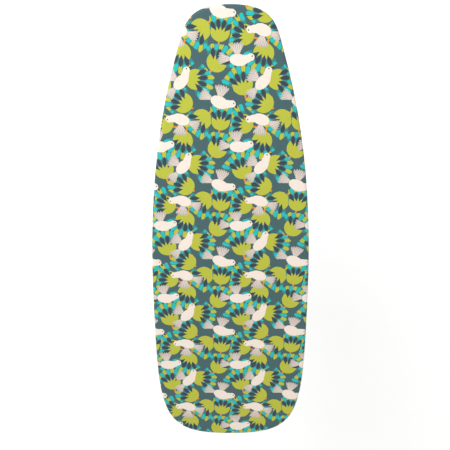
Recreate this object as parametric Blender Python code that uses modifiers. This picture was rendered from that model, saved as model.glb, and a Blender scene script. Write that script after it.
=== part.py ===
"""Folding ironing board on crossed tube legs, with a padded top in a fitted elastic cover.

Metres and degrees. +Z is up, +Y runs to the narrow nose, and the origin is on the floor under the middle
of the top. The board stands open at its full working height. Empties sit on the joint axes and carry the
moving pieces.
"""

import math

import bmesh
import bpy
from mathutils import Matrix, Vector

# Overall sizes, over the cover
BOARD_LENGTH = 1.220
BOARD_WIDTH = 0.433
WORK_HEIGHT = 0.900

# Outline of the top, from the nose round to the heel
SHOULDER_HALF_WIDTH = 0.129  # half width where the nose's corner has run into the taper
SHOULDER_FROM_NOSE = 0.100
TAPER_ANGLE = 17.8  # between the board's length and its side at the shoulder
NOSE_CORNER_ACROSS = 0.023  # how far the nose's handle stops short of the shoulder
NOSE_CORNER_ALONG = 0.056
TAPER_REACH = 0.200  # length of the taper's handle behind the shoulder
FULL_WIDTH_FROM_HEEL = 0.460
SIDE_REACH = 0.260
HEEL_CORNER_ALONG = 0.070
HEEL_CORNER_ACROSS = 0.0015
NOSE_STEPS, TAPER_STEPS, HEEL_STEPS = 9, 7, 14  # points along each stretch of half the outline

# The top's layers
GAP = 0.0003  # left between pieces that touch
COVER_THICKNESS = 0.0010
COVER_UNDERLAP = 0.042  # how far the cover runs in under the rim
# The cover's rounded edge: how far in and how far down each point of it is
COVER_EDGE = ((0.0120, 0.0), (0.0050, 0.0010), (0.0014, 0.0036), (0.0, 0.0080))
ELASTIC_RADIUS = 0.0022
PAD_THICKNESS = 0.0080
PAD_EDGE_ROUND = 0.0035
PAD_EDGE_START = 0.0120  # where the pad's top begins to round, in from its side
PAD_EDGE_SHOULDER = 0.0012  # drop at the rounding's middle
PAD_EDGE_FALL = 0.0015  # further drop to its end
PANEL_THICKNESS = 0.0008
PANEL_MARGIN = 0.004  # the panel stops this far inside the rim's outer face
STEAM_HOLE_RADIUS = 0.011
STEAM_HOLE_PITCH = 0.066
STEAM_HOLE_EDGE = 0.040  # plain border of the panel, to the holes' middles
RIM_HEIGHT = 0.0180
RIM_FLANGE = 0.0120
RIM_SHEET = 0.0012
RIM_BEND = 0.0015  # corners of the rim and of the cover under it

# Cross braces under the panel
BRACE_WIDTH = 0.030
BRACE_SHEET = 0.0012
REAR_BRACE_FROM_PIVOT = 0.200

# Legs
LEG_ANGLE = 54.0  # each leg against the floor, standing
FOLDED_ANGLE = 3.0  # each leg against the board, folded flat
PIVOT_FROM_HEEL = 0.170
PIVOT_DROP = 0.0185  # pivots' height below the braces
OUTER_TUBE_RADIUS = 0.0110
INNER_TUBE_RADIUS = 0.0100
TUBE_WALL = 0.0010
INNER_TUBE_OFFSET = 0.044  # from the middle of the board to an inner leg tube's middle
TUBE_TOP_REACH = 0.010  # tube beyond its top pivot
WASHER_THICKNESS = 0.0044
WASHER_RADIUS = 0.0090
LEG_BRACE_RADIUS = 0.0070
LEG_BRACE_FROM_CROSSING = 0.300

# Feet
FOOT_BAR_RADIUS = 0.0125
REAR_FOOT_LENGTH = 0.390
FRONT_FOOT_LENGTH = 0.330
FOOT_CAP_RADIUS = 0.0160
FOOT_CAP_LENGTH = 0.038
FOOT_CAP_ROUND = 0.0025
FOOT_CAP_OVERLAP = 0.030  # length of bar inside the cap
SOLE_DROP = 0.0145  # flat sole below the foot bar's middle

# Pins and nuts
PIN_RADIUS = 0.0040
PIN_CLEARANCE = 0.00012
NUT_RADIUS = 0.0078
NUT_LENGTH = 0.0070
NUT_CAP = 0.0022
NUT_CHAMFER = 0.0008
CROSSING_SLEEVE_WALL = 0.0032

# Pivot bracket near the heel
BRACKET_SHEET = 0.0020
BRACKET_LENGTH = 0.036
BRACKET_EAR_DROP = 0.0100  # ear below the pivot pin's middle
PIVOT_SPACER = 0.0060

# Slide rails and the carriage in them
RAIL_SHEET = 0.0015
RAIL_WIDTH = 0.024
RAIL_DROP = 0.0105  # rail below the slide bar's middle
RAIL_TUBE_CLEARANCE = 0.004
RAIL_HEM_CLEARANCE = 0.004
RAIL_SHAFT_CLEARANCE = 0.003
RAIL_END_STEP = 0.002  # the rails' length is a whole number of these
RAIL_PAST_GLIDE = 0.002  # rail left in front of the folded glides
SLIDE_BAR_RADIUS = 0.0050
SLIDE_BAR_SHORT = 0.0030  # slide bar short of the rails' backs
GLIDE_LENGTH = 0.032
GLIDE_CLEARANCE = 0.0005
GLIDE_STAND_OUT = 0.0010  # glide past the rail's open side
GLIDE_END_WALL = 0.0020  # nylon left past the slide bar's end
MOULDED_ROUND = 0.0012  # edges of the glides and of the clevis
CLEVIS_HALF_WIDTH = 0.012
CLEVIS_HALF_HEIGHT = 0.010
CLEVIS_FRONT = 0.011  # clevis on the nose side of the slide bar
CLEVIS_REAR = 0.030  # clevis on the heel side of the slide bar
CLEVIS_SOCKET = 0.016  # how deep the height rod runs in

# Height rod and its brake
HEIGHT_ROD_RADIUS = 0.0050
ROD_PAST_BRAKE = 0.012  # rod left behind the brake when folded
ROD_STOP_RADIUS = 0.0085
ROD_STOP_LENGTH = 0.008
ROD_STOP_FROM_TAIL = 0.001
ROD_STOP_CHAMFER = 0.0010
BRAKE_BOX_HALF_LENGTH = 0.022
BRAKE_BOX_HALF_WIDTH = 0.019
BRAKE_BOX_DROP = 0.013  # walls below the height rod's middle
BRAKE_SHEET = 0.0018
BRAKE_BOX_CLEARANCE = 0.0005  # round the height rod
BRAKE_TILT = 7.0  # the brake block's lean when it grips
BRAKE_BLOCK_THICKNESS = 0.0070
BRAKE_BLOCK_HALF_WIDTH = 0.013
BRAKE_BLOCK_HEAD = 0.0045  # block above the lever shaft's middle
BRAKE_BLOCK_TAIL = 0.0095  # block below the height rod's middle
BRAKE_BORE_CLEARANCE = 0.0009
BRAKE_BLOCK_ROUND = 0.0006
SPRING_WIRE_RADIUS = 0.0006
SPRING_RADIUS = 0.0075
SPRING_TURNS = 5
SPRING_FLAT = 0.75  # turns that lie flat at each end

# Release lever
SHAFT_RADIUS = 0.0030
SHAFT_RISE = 0.0105  # lever shaft above the height rod
SHAFT_LEFT_END = 0.033
SHAFT_BEND_RADIUS = 0.012
SHAFT_BEND_STEPS = 6
LEVER_OFFSET = 0.142  # from the middle of the board to the lever's arm
LEVER_REACH = 0.120
LEVER_DROP = 0.020
GRIP_LENGTH = 0.075
GRIP_WIDTH = 0.030
GRIP_THICKNESS = 0.0105
GRIP_SOCKET = 0.050
GRIP_ROUND = 0.0035
BEARING_LEFT = 0.026
BEARING_RIGHT = 0.118
BEARING_WIDTH = 0.014
BEARING_FLANGE = 0.010
BEARING_SHEET = 0.0020
BEARING_DROP = 0.0060  # ear below the shaft's middle

CUT_PAST = 0.0100  # how far a cutter starts or ends outside the piece that it cuts

# How finely round pieces are cut
TUBE_SIDES = 20
ROD_SIDES = 16
SPRING_STEPS = 12

# ---------------------------------------------------------------- outline of the top


def bezier(p0, p1, p2, p3, steps):
    """Points of a cubic stretch, leaving out its last."""
    found = []
    for i in range(steps):
        t = i / steps
        s = 1 - t
        found.append(s**3 * p0 + 3 * s * s * t * p1 + 3 * s * t * t * p2 + t**3 * p3)
    return found


def right_side(finer=1):
    """The right-hand half of the cover's outline, from the nose's tip to the heel's middle."""
    half = BOARD_WIDTH / 2
    nose_end, heel_end = BOARD_LENGTH / 2, -BOARD_LENGTH / 2
    slope = math.radians(TAPER_ANGLE)
    taper = Vector((math.sin(slope), -math.cos(slope)))
    tip = Vector((0, nose_end))
    nose_handle = Vector((SHOULDER_HALF_WIDTH - NOSE_CORNER_ACROSS, nose_end))
    shoulder = Vector((SHOULDER_HALF_WIDTH, nose_end - SHOULDER_FROM_NOSE))
    full = Vector((half, heel_end + FULL_WIDTH_FROM_HEEL))
    side_handle = full + Vector((0, SIDE_REACH))
    heel_along = Vector((half, heel_end + HEEL_CORNER_ALONG))
    heel_across = Vector((half - HEEL_CORNER_ACROSS, heel_end))
    heel = Vector((0, heel_end))
    points = bezier(tip, nose_handle, shoulder - taper * NOSE_CORNER_ALONG, shoulder, NOSE_STEPS * finer)
    points += bezier(shoulder, shoulder + taper * TAPER_REACH, side_handle, full, TAPER_STEPS * finer)
    points += bezier(full, heel_along, heel_across, heel, HEEL_STEPS * finer)
    return points + [heel]


def outline(inset, finer=1):
    """The closed outline, anticlockwise from above, moved in from the cover's edge."""
    right = right_side(finer)
    around = [Vector((-p.x, p.y)) for p in right[:-1]] + right[:0:-1]
    moved = []
    for i, point in enumerate(around):
        ahead = around[(i + 1) % len(around)] - around[i - 1]
        inward = Vector((-ahead.y, ahead.x)).normalized()
        moved.append(point + inward * inset)
    return moved


def half_width(y, inset=0.0, finer=4):
    """Half the top's width at a place along the board, inside an inset from its edge."""
    right = sorted((p for p in outline(inset, finer) if p.x >= 0), key=lambda p: p.y)
    for low, high in zip(right, right[1:]):
        if low.y <= y < high.y:
            return low.x + (high.x - low.x) * (y - low.y) / (high.y - low.y)
    return 0.0


# ---------------------------------------------------------------- worked-out places

# Heights, from the ironing surface down
PAD_TOP = WORK_HEIGHT - COVER_THICKNESS - GAP
PAD_BOTTOM = PAD_TOP - PAD_THICKNESS
PANEL_TOP = PAD_BOTTOM - GAP
PANEL_BOTTOM = PANEL_TOP - PANEL_THICKNESS
RIM_TOP = PANEL_BOTTOM - GAP
RIM_BOTTOM = RIM_TOP - RIM_HEIGHT
UNDER_BRACES = RIM_BOTTOM - GAP
PIVOT_HEIGHT = RIM_BOTTOM - PIVOT_DROP
SHAFT_HEIGHT = PIVOT_HEIGHT + SHAFT_RISE

# Places across the board
RIM_INSET = COVER_THICKNESS + GAP
HEM_INSET = COVER_UNDERLAP + GAP + 2 * ELASTIC_RADIUS
OUTER_TUBE_OFFSET = INNER_TUBE_OFFSET + INNER_TUBE_RADIUS + WASHER_THICKNESS + 2 * GAP + OUTER_TUBE_RADIUS
OUTER_TUBE_FACE = OUTER_TUBE_OFFSET + OUTER_TUBE_RADIUS
EAR_FACE = OUTER_TUBE_OFFSET - OUTER_TUBE_RADIUS - PIVOT_SPACER - 2 * GAP
RAIL_OPEN_SIDE = INNER_TUBE_OFFSET + INNER_TUBE_RADIUS + RAIL_TUBE_CLEARANCE
RAIL_BACK = RAIL_OPEN_SIDE + RAIL_WIDTH
PIN_HALF_LENGTH = OUTER_TUBE_FACE + GAP + NUT_LENGTH - NUT_CAP - GAP


def rail_nose_end():
    """How far the rails can run towards the nose before they would meet the cover's hem."""
    y = 0.0
    while half_width(y + RAIL_END_STEP, HEM_INSET) > RAIL_BACK + RAIL_HEM_CLEARANCE:
        y += RAIL_END_STEP
    return y


# Places along the board
PIVOT_Y = -BOARD_LENGTH / 2 + PIVOT_FROM_HEEL
RAIL_NOSE_END = rail_nose_end()
FOLDED_SLIDE_Y = RAIL_NOSE_END - GLIDE_LENGTH / 2 - RAIL_PAST_GLIDE
LEG_SLOPE = math.radians(LEG_ANGLE)
UPPER_LEG = (FOLDED_SLIDE_Y - PIVOT_Y) / (2 * math.cos(math.radians(FOLDED_ANGLE)))
WHOLE_LEG = (PIVOT_HEIGHT - SOLE_DROP) / math.sin(LEG_SLOPE)
SLIDE_Y = PIVOT_Y + 2 * UPPER_LEG * math.cos(LEG_SLOPE)
BRAKE_Y = SLIDE_Y - CLEVIS_REAR - BRAKE_BOX_HALF_LENGTH - 2 * GAP
RAIL_HEEL_END = BRAKE_Y + SHAFT_RADIUS + RAIL_SHAFT_CLEARANCE
ROD_TAIL_Y = SLIDE_Y - (FOLDED_SLIDE_Y - BRAKE_Y) - BRAKE_BOX_HALF_LENGTH - ROD_PAST_BRAKE

# The legs' joints and feet, as points in the middle of the board
PIVOT = Vector((0, PIVOT_Y, PIVOT_HEIGHT))
SLIDE = Vector((0, SLIDE_Y, PIVOT_HEIGHT))
OUTER_DOWN = Vector((0, math.cos(LEG_SLOPE), -math.sin(LEG_SLOPE)))
INNER_DOWN = Vector((0, -math.cos(LEG_SLOPE), -math.sin(LEG_SLOPE)))
CROSSING = PIVOT + OUTER_DOWN * UPPER_LEG
FRONT_FOOT = PIVOT + OUTER_DOWN * WHOLE_LEG
REAR_FOOT = SLIDE + INNER_DOWN * WHOLE_LEG
SHAFT = Vector((0, BRAKE_Y, SHAFT_HEIGHT))

SIDES = {"left": -1, "right": 1}


# ---------------------------------------------------------------- scene and materials


def clear_scene():
    """Removes whatever the file held, and makes one collection for the board and one for its cutters."""
    for old in list(bpy.data.objects):
        bpy.data.objects.remove(old)
    made = []
    for name in ("ironing_board", "cutters"):
        collection = bpy.data.collections.new(name)
        bpy.context.scene.collection.children.link(collection)
        made.append(collection)
    return made


BOARD, CUTTERS = clear_scene()


def finish_of(name, colour, roughness, metallic=0.0):
    """One Principled material."""
    material = bpy.data.materials.new(name)
    material.use_nodes = True
    shader = material.node_tree.nodes["Principled BSDF"]
    shader.inputs["Base Color"].default_value = (*colour, 1.0)
    shader.inputs["Roughness"].default_value = roughness
    shader.inputs["Metallic"].default_value = metallic
    return material


COTTON = finish_of("printed_cotton", (0.10, 0.25, 0.29), 0.85)
FELT = finish_of("pad_felt", (0.78, 0.77, 0.74), 0.95)
ELASTIC = finish_of("elastic_cord", (0.86, 0.86, 0.84), 0.8)
FRAME_PAINT = finish_of("frame_paint", (0.80, 0.81, 0.82), 0.45)
LEG_PAINT = finish_of("leg_paint", (0.55, 0.57, 0.59), 0.38, 0.6)
ZINC = finish_of("zinc_steel", (0.66, 0.67, 0.68), 0.3, 1.0)
NYLON = finish_of("white_nylon", (0.88, 0.88, 0.85), 0.5)
PLASTIC = finish_of("dark_plastic", (0.06, 0.065, 0.07), 0.5)
RUBBER = finish_of("foot_rubber", (0.05, 0.05, 0.055), 0.75)


# ---------------------------------------------------------------- modelling helpers


def hang(thing, parent, place, turn_x=0.0):
    """Hangs a thing from its body's empty. Every place is given in the board's own frame."""
    thing.location = place
    thing.rotation_euler = (turn_x, 0, 0)
    if parent:
        thing.parent = parent
        thing.matrix_parent_inverse = Matrix.Translation(-parent.location)


def joint_empty(name, place, parent=None):
    """An empty on a joint's axis, which carries that body's pieces."""
    empty = bpy.data.objects.new(name, None)
    BOARD.objects.link(empty)
    hang(empty, parent, place)
    return empty


def add(name, data, material, parent=None, place=(0, 0, 0), turn_x=0.0):
    """Puts a mesh or curve among the board's pieces."""
    piece = bpy.data.objects.new(name, data)
    BOARD.objects.link(piece)
    hang(piece, parent, place, turn_x)
    data.materials.append(material)
    if isinstance(data, bpy.types.Mesh):
        data.shade_smooth()
        data.set_sharp_from_angle(angle=math.radians(35))
    return piece


def mesh_from(bm, name):
    mesh = bpy.data.meshes.new(name)
    bm.to_mesh(mesh)
    bm.free()
    return mesh


def cylinder_mesh(name, start, end, radius, sides, capped=True):
    """A straight cylinder between two points."""
    start, end = Vector(start), Vector(end)
    along = end - start
    turn = along.to_track_quat("Z", "Y").to_matrix().to_4x4()
    bm = bmesh.new()
    bmesh.ops.create_cone(
        bm,
        cap_ends=capped,
        segments=sides,
        radius1=radius,
        radius2=radius,
        depth=along.length,
        matrix=Matrix.Translation((start + end) / 2) @ turn,
    )
    return mesh_from(bm, name)


def box_mesh(name, low, high):
    low, high = Vector(low), Vector(high)
    bm = bmesh.new()
    size = Matrix.Diagonal((*(high - low), 1))
    bmesh.ops.create_cube(bm, size=1, matrix=Matrix.Translation((low + high) / 2) @ size)
    return mesh_from(bm, name)


def solidify(piece, thickness):
    """Gives an open surface its sheet thickness, on the side away from its normals."""
    sheet = piece.modifiers.new("sheet", "SOLIDIFY")
    sheet.thickness = thickness
    sheet.offset = -1
    sheet.use_even_offset = True


def round_edges(piece, width, segments=2):
    rounding = piece.modifiers.new("rounding", "BEVEL")
    rounding.width = width
    rounding.segments = segments
    rounding.limit_method = "ANGLE"
    rounding.angle_limit = math.radians(40)


def rod(name, start, end, radius, material, parent=None, sides=ROD_SIDES):
    """A solid round bar between two points."""
    return add(name, cylinder_mesh(name, start, end, radius, sides), material, parent)


def tube(name, start, end, radius, material, parent=None):
    """A hollow round tube between two points, open at both ends."""
    piece = add(name, cylinder_mesh(name, start, end, radius, TUBE_SIDES, capped=False), material, parent)
    solidify(piece, TUBE_WALL)
    return piece


def box(name, low, high, material, parent=None, bevel=0.0, place=(0, 0, 0), turn_x=0.0):
    """A block between two corners, with its edges rounded if a bevel is given."""
    piece = add(name, box_mesh(name, low, high), material, parent, place, turn_x)
    if bevel:
        round_edges(piece, bevel)
    return piece


def folded_sheet(name, profile, along, thickness, material):
    """Sheet metal bent to an open profile and carried along a vector.

    The metal lies on the side away from (the profile's direction) x (the vector).
    """
    bm = bmesh.new()
    near = [bm.verts.new(Vector(p)) for p in profile]
    far = [bm.verts.new(Vector(p) + Vector(along)) for p in profile]
    for i in range(len(profile) - 1):
        bm.faces.new((near[i], near[i + 1], far[i + 1], far[i]))
    piece = add(name, mesh_from(bm, name), material)
    solidify(piece, thickness)
    return piece


def cut(piece, mesh, place=(0, 0, 0), turn_x=0.0):
    """Takes a shape out of a piece. The shape is kept out of the render, in its own collection."""
    cutter = bpy.data.objects.new(mesh.name, mesh)
    CUTTERS.objects.link(cutter)
    hang(cutter, piece.parent, place, turn_x)
    cutter.hide_render = True
    cutter.display_type = "WIRE"
    cutting = piece.modifiers.new("cut", "BOOLEAN")
    cutting.operation = "DIFFERENCE"
    cutting.object = cutter


def drill(piece, start, end, radius, sides=ROD_SIDES, place=(0, 0, 0), turn_x=0.0):
    """Cuts a round hole between two points."""
    cut(piece, cylinder_mesh(piece.name + "_bore", start, end, radius, sides), place, turn_x)


def drill_across(piece, middle, radius, reach=0.15):
    """Drills right across the board, along X."""
    sideways = Vector((reach, 0, 0))
    drill(piece, middle - sideways, middle + sideways, radius)


def beside(middle, x):
    """The point at a distance to the right of one on the board's middle plane."""
    return Vector((x, middle.y, middle.z))


def loft(name, rings, material, close_first=False, close_last=False):
    """Joins outlines at (inset, height), one after another, into a surface facing out."""
    bm = bmesh.new()
    loops = []
    for inset, height in rings:
        loops.append([bm.verts.new((p.x, p.y, height)) for p in outline(inset)])
    count = len(loops[0])
    for above, below in zip(loops, loops[1:]):
        for i in range(count):
            j = (i + 1) % count
            bm.faces.new((above[i], below[i], below[j], above[j]))
    if close_first:
        bm.faces.new(loops[0])
    if close_last:
        bm.faces.new(loops[-1][::-1])
    return add(name, mesh_from(bm, name), material)


def curve_of(name, loops, cyclic, fill):
    """A curve through straight stretches between points."""
    curve = bpy.data.curves.new(name, "CURVE")
    curve.dimensions = "2D" if fill else "3D"
    if fill:
        curve.fill_mode = "BOTH"
    for loop in loops:
        spline = curve.splines.new("POLY")
        spline.points.add(len(loop) - 1)
        for point, place in zip(spline.points, loop):
            point.co = (*place, 1) if len(place) == 3 else (*place, 0, 1)
        spline.use_cyclic_u = cyclic
    return curve


def wire(name, path, radius, material, parent=None, cyclic=False, resolution=1):
    """A round wire along a path."""
    curve = curve_of(name, [path], cyclic, fill=False)
    curve.bevel_depth = radius
    curve.bevel_resolution = resolution
    curve.use_fill_caps = not cyclic
    return add(name, curve, material, parent)


# ---------------------------------------------------------------- the top


def make_cover():
    """The fitted cover: over the pad, round its edge, down past the rim and in underneath to the hem."""
    bottom = RIM_BOTTOM - GAP - COVER_THICKNESS
    rings = [(inset, WORK_HEIGHT - drop) for inset, drop in COVER_EDGE]
    rings += [(0.0, bottom + RIM_BEND), (RIM_BEND, bottom), (COVER_UNDERLAP, bottom)]
    solidify(loft("cover", rings, COTTON, close_first=True), COVER_THICKNESS)


def make_hem_elastic():
    """The elastic cord that draws the cover's hem in under the rim."""
    height = UNDER_BRACES - ELASTIC_RADIUS
    middle = COVER_UNDERLAP + GAP + ELASTIC_RADIUS
    path = [(p.x, p.y, height) for p in outline(middle)]
    wire("hem_elastic", path, ELASTIC_RADIUS, ELASTIC, cyclic=True, resolution=2)


def make_pad():
    """The thick felt pad under the cover, rounded along its upper edge."""
    inset = RIM_INSET + GAP
    rings = [
        (inset + PAD_EDGE_START, PAD_TOP),
        (inset + PAD_EDGE_ROUND, PAD_TOP - PAD_EDGE_SHOULDER),
        (inset, PAD_TOP - PAD_EDGE_ROUND - PAD_EDGE_FALL),
        (inset, PAD_BOTTOM),
    ]
    loft("felt_pad", rings, FELT, close_first=True, close_last=True)


def steam_holes():
    """Middles of the panel's steam holes, in staggered rows that keep clear of its edge."""
    row_step = STEAM_HOLE_PITCH * math.sin(math.radians(60))
    rows = int(BOARD_LENGTH / 2 / row_step)
    places = []
    for row in range(-rows, rows + 1):
        y = row * row_step
        if abs(y) > BOARD_LENGTH / 2 - STEAM_HOLE_EDGE:
            continue
        stagger = STEAM_HOLE_PITCH / 2 if row % 2 else 0.0
        room = half_width(y, RIM_INSET + STEAM_HOLE_EDGE)
        columns = int(room / STEAM_HOLE_PITCH) + 1
        for column in range(-columns, columns + 1):
            x = column * STEAM_HOLE_PITCH + stagger
            if abs(x) <= room:
                places.append((x, y))
    return places


def make_panel():
    """The steel sheet that carries the pad, pierced with six-sided steam holes."""
    corners = [math.radians(60 * k + 30) for k in range(6)]
    loops = [outline(RIM_INSET + PANEL_MARGIN)]
    for x, y in steam_holes():
        r = STEAM_HOLE_RADIUS
        loops.append([(x + r * math.cos(a), y + r * math.sin(a)) for a in corners])
    curve = curve_of("steam_panel", loops, cyclic=True, fill=True)
    curve.extrude = PANEL_THICKNESS / 2
    add("steam_panel", curve, FRAME_PAINT, place=(0, 0, (PANEL_TOP + PANEL_BOTTOM) / 2))


def make_rim():
    """The rim: sheet rolled to a channel that opens inwards, all round the top."""
    rings = [
        (RIM_INSET + RIM_FLANGE, RIM_TOP),
        (RIM_INSET + RIM_BEND, RIM_TOP),
        (RIM_INSET, RIM_TOP - RIM_BEND),
        (RIM_INSET, RIM_BOTTOM + RIM_BEND),
        (RIM_INSET + RIM_BEND, RIM_BOTTOM),
        (RIM_INSET + RIM_FLANGE, RIM_BOTTOM),
    ]
    solidify(loft("rim_frame", rings, FRAME_PAINT), RIM_SHEET)


def make_cross_brace(name, y):
    """A channel welded across between the rim's flanges, open downwards."""
    near, far = y - BRACE_WIDTH / 2, y + BRACE_WIDTH / 2
    inset = RIM_INSET + RIM_FLANGE + GAP
    reach = min(half_width(near, inset, finer=1), half_width(far, inset, finer=1)) - GAP
    profile = [(-reach, far, RIM_BOTTOM), (-reach, far, RIM_TOP), (-reach, near, RIM_TOP)]
    profile.append((-reach, near, RIM_BOTTOM))
    folded_sheet(name, profile, (2 * reach, 0, 0), BRACE_SHEET, FRAME_PAINT)


def make_top():
    make_cover()
    make_hem_elastic()
    make_pad()
    make_panel()
    make_rim()
    make_cross_brace("cross_brace_heel", PIVOT_Y)
    make_cross_brace("cross_brace_rear", PIVOT_Y + REAR_BRACE_FROM_PIVOT)
    make_cross_brace("cross_brace_middle", BRAKE_Y)
    make_cross_brace("cross_brace_front", (BRAKE_Y + RAIL_NOSE_END) / 2)
    make_cross_brace("cross_brace_nose", RAIL_NOSE_END - BRACE_WIDTH)


# ---------------------------------------------------------------- fittings under the top


def make_nut(name, middle, sign, parent=None):
    """A six-sided cap nut over one end of a pin."""
    start = OUTER_TUBE_FACE + GAP
    nut = rod(
        name,
        beside(middle, sign * start),
        beside(middle, sign * (start + NUT_LENGTH)),
        NUT_RADIUS,
        ZINC,
        parent,
        sides=6,
    )
    round_edges(nut, NUT_CHAMFER, 1)
    mouth, depth = start - CUT_PAST, start + NUT_LENGTH - NUT_CAP
    bore = PIN_RADIUS + PIN_CLEARANCE
    drill(nut, beside(middle, sign * mouth), beside(middle, sign * depth), bore)


def make_ring(name, middle, start, end, radius, bore, material, parent=None):
    """A washer, spacer or sleeve between two distances across the board."""
    ring = rod(name, beside(middle, start), beside(middle, end), radius, material, parent)
    drill_across(ring, middle, bore)


def make_pivot_bracket():
    """The bracket under the heel brace, with an ear beside each outer tube, and the pin through both."""
    low, start = PIVOT_HEIGHT - BRACKET_EAR_DROP, PIVOT_Y - BRACKET_LENGTH / 2
    profile = [(-EAR_FACE, start, low), (-EAR_FACE, start, UNDER_BRACES)]
    profile += [(EAR_FACE, start, UNDER_BRACES), (EAR_FACE, start, low)]
    bracket = folded_sheet("pivot_bracket", profile, (0, BRACKET_LENGTH, 0), BRACKET_SHEET, ZINC)
    drill_across(bracket, PIVOT, PIN_RADIUS + PIN_CLEARANCE)
    rod("pivot_pin", beside(PIVOT, -PIN_HALF_LENGTH), beside(PIVOT, PIN_HALF_LENGTH), PIN_RADIUS, ZINC)
    for side, sign in SIDES.items():
        make_nut("pivot_nut_" + side, PIVOT, sign)
        start, end = EAR_FACE + GAP, EAR_FACE + GAP + PIVOT_SPACER
        bore = PIN_RADIUS + PIN_CLEARANCE
        start, end = sign * start, sign * end
        make_ring("pivot_spacer_" + side, PIVOT, start, end, WASHER_RADIUS, bore, NYLON)


def make_rails():
    """Two channels that open towards each other, for the ends of the slide bar."""
    low = PIVOT_HEIGHT - RAIL_DROP
    for side, sign in SIDES.items():
        profile = [(sign * RAIL_OPEN_SIDE, RAIL_HEEL_END, UNDER_BRACES)]
        profile.append((sign * RAIL_BACK, RAIL_HEEL_END, UNDER_BRACES))
        profile.append((sign * RAIL_BACK, RAIL_HEEL_END, low))
        profile.append((sign * RAIL_OPEN_SIDE, RAIL_HEEL_END, low))
        along = (0, RAIL_NOSE_END - RAIL_HEEL_END, 0)
        folded_sheet("slide_rail_" + side, profile[::sign], along, RAIL_SHEET, ZINC)


def make_brake_box():
    """The bent box the height rod runs through, and the spring that leans the brake block over."""
    low = PIVOT_HEIGHT - BRAKE_BOX_DROP
    front, rear = BRAKE_Y + BRAKE_BOX_HALF_LENGTH, BRAKE_Y - BRAKE_BOX_HALF_LENGTH
    x = -BRAKE_BOX_HALF_WIDTH
    profile = [(x, front, low), (x, front, UNDER_BRACES), (x, rear, UNDER_BRACES), (x, rear, low)]
    housing = folded_sheet("brake_box", profile, (-2 * x, 0, 0), BRAKE_SHEET, ZINC)
    start, end = Vector((0, rear - CUT_PAST, PIVOT_HEIGHT)), Vector((0, front + CUT_PAST, PIVOT_HEIGHT))
    drill(housing, start, end, HEIGHT_ROD_RADIUS + BRAKE_BOX_CLEARANCE)
    first = rear + BRAKE_SHEET + GAP + SPRING_WIRE_RADIUS
    last = BRAKE_Y - BRAKE_BLOCK_THICKNESS / 2 - GAP - SPRING_WIRE_RADIUS
    path = []
    for i in range(SPRING_STEPS * SPRING_TURNS + 1):
        turn = math.radians(360 * i / SPRING_STEPS)
        # The coil's first and last turns lie flat, and the turns between them climb.
        climb = min(max((i / SPRING_STEPS - SPRING_FLAT) / (SPRING_TURNS - 2 * SPRING_FLAT), 0), 1)
        y = first + (last - first) * climb
        path.append((SPRING_RADIUS * math.sin(turn), y, PIVOT_HEIGHT + SPRING_RADIUS * math.cos(turn)))
    wire("brake_spring", path, SPRING_WIRE_RADIUS, ZINC)


def make_bearings():
    """Two angle brackets under the middle brace, which the lever's shaft turns in."""
    start = BRAKE_Y - BEARING_WIDTH / 2
    low = SHAFT_HEIGHT - BEARING_DROP
    for side, x in (("left", -BEARING_LEFT), ("right", BEARING_RIGHT)):
        sign = SIDES[side]
        profile = [(x + sign * BEARING_FLANGE, start, UNDER_BRACES), (x, start, UNDER_BRACES)]
        profile.append((x, start, low))
        along = (0, BEARING_WIDTH, 0)
        bearing = folded_sheet("shaft_bearing_" + side, profile[::-sign], along, BEARING_SHEET, ZINC)
        drill_across(bearing, SHAFT, SHAFT_RADIUS + PIN_CLEARANCE)


# ---------------------------------------------------------------- legs


def make_leg_tubes(label, top, down, foot, offset, radius, top_bore, parent):
    """A leg's two tubes, bored for the top and crossing pins, and coped to the foot bar."""
    for side, sign in SIDES.items():
        start = beside(top - down * TUBE_TOP_REACH, sign * offset)
        end = beside(foot, sign * offset)
        leg = tube(f"{label}_tube_{side}", start, end, radius, LEG_PAINT, parent)
        drill_across(leg, top, top_bore)
        drill_across(leg, CROSSING, PIN_RADIUS + PIN_CLEARANCE)
        drill_across(leg, foot, FOOT_BAR_RADIUS + GAP, reach=0.2)


def make_leg_brace(label, down, offset, radius, parent):
    """A tube welded across between a leg's two tubes, with its ends shaped to them."""
    middle = CROSSING + down * LEG_BRACE_FROM_CROSSING
    left, right = beside(middle, -offset), beside(middle, offset)
    brace = tube(f"{label}_leg_brace", left, right, LEG_BRACE_RADIUS, LEG_PAINT, parent)
    for end in (left, right):
        past = down * (LEG_BRACE_RADIUS + CUT_PAST)
        drill(brace, end - past, end + past, radius + GAP, TUBE_SIDES)


def make_foot(label, middle, length, parent):
    """A foot bar and the two rubber caps it stands on, each with a flat sole."""
    half = length / 2
    left, right = beside(middle, -half), beside(middle, half)
    tube(f"{label}_foot_bar", left, right, FOOT_BAR_RADIUS, LEG_PAINT, parent)
    for side, sign in SIDES.items():
        name = f"{label}_foot_cap_{side}"
        inner = sign * (half - FOOT_CAP_OVERLAP)
        outer = inner + sign * FOOT_CAP_LENGTH
        start, end = beside(middle, inner), beside(middle, outer)
        cap = rod(name, start, end, FOOT_CAP_RADIUS, RUBBER, parent, TUBE_SIDES)
        round_edges(cap, FOOT_CAP_ROUND)
        mouth, depth = beside(middle, inner - sign * CUT_PAST), beside(middle, sign * (half + GAP))
        drill(cap, mouth, depth, FOOT_BAR_RADIUS + GAP, TUBE_SIDES)
        near, far = sorted((inner, outer))
        past = FOOT_CAP_RADIUS + CUT_PAST
        low = (near - CUT_PAST, middle.y - past, middle.z - past)
        high = (far + CUT_PAST, middle.y + past, middle.z - SOLE_DROP)
        cut(cap, box_mesh(name + "_sole", low, high))


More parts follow.
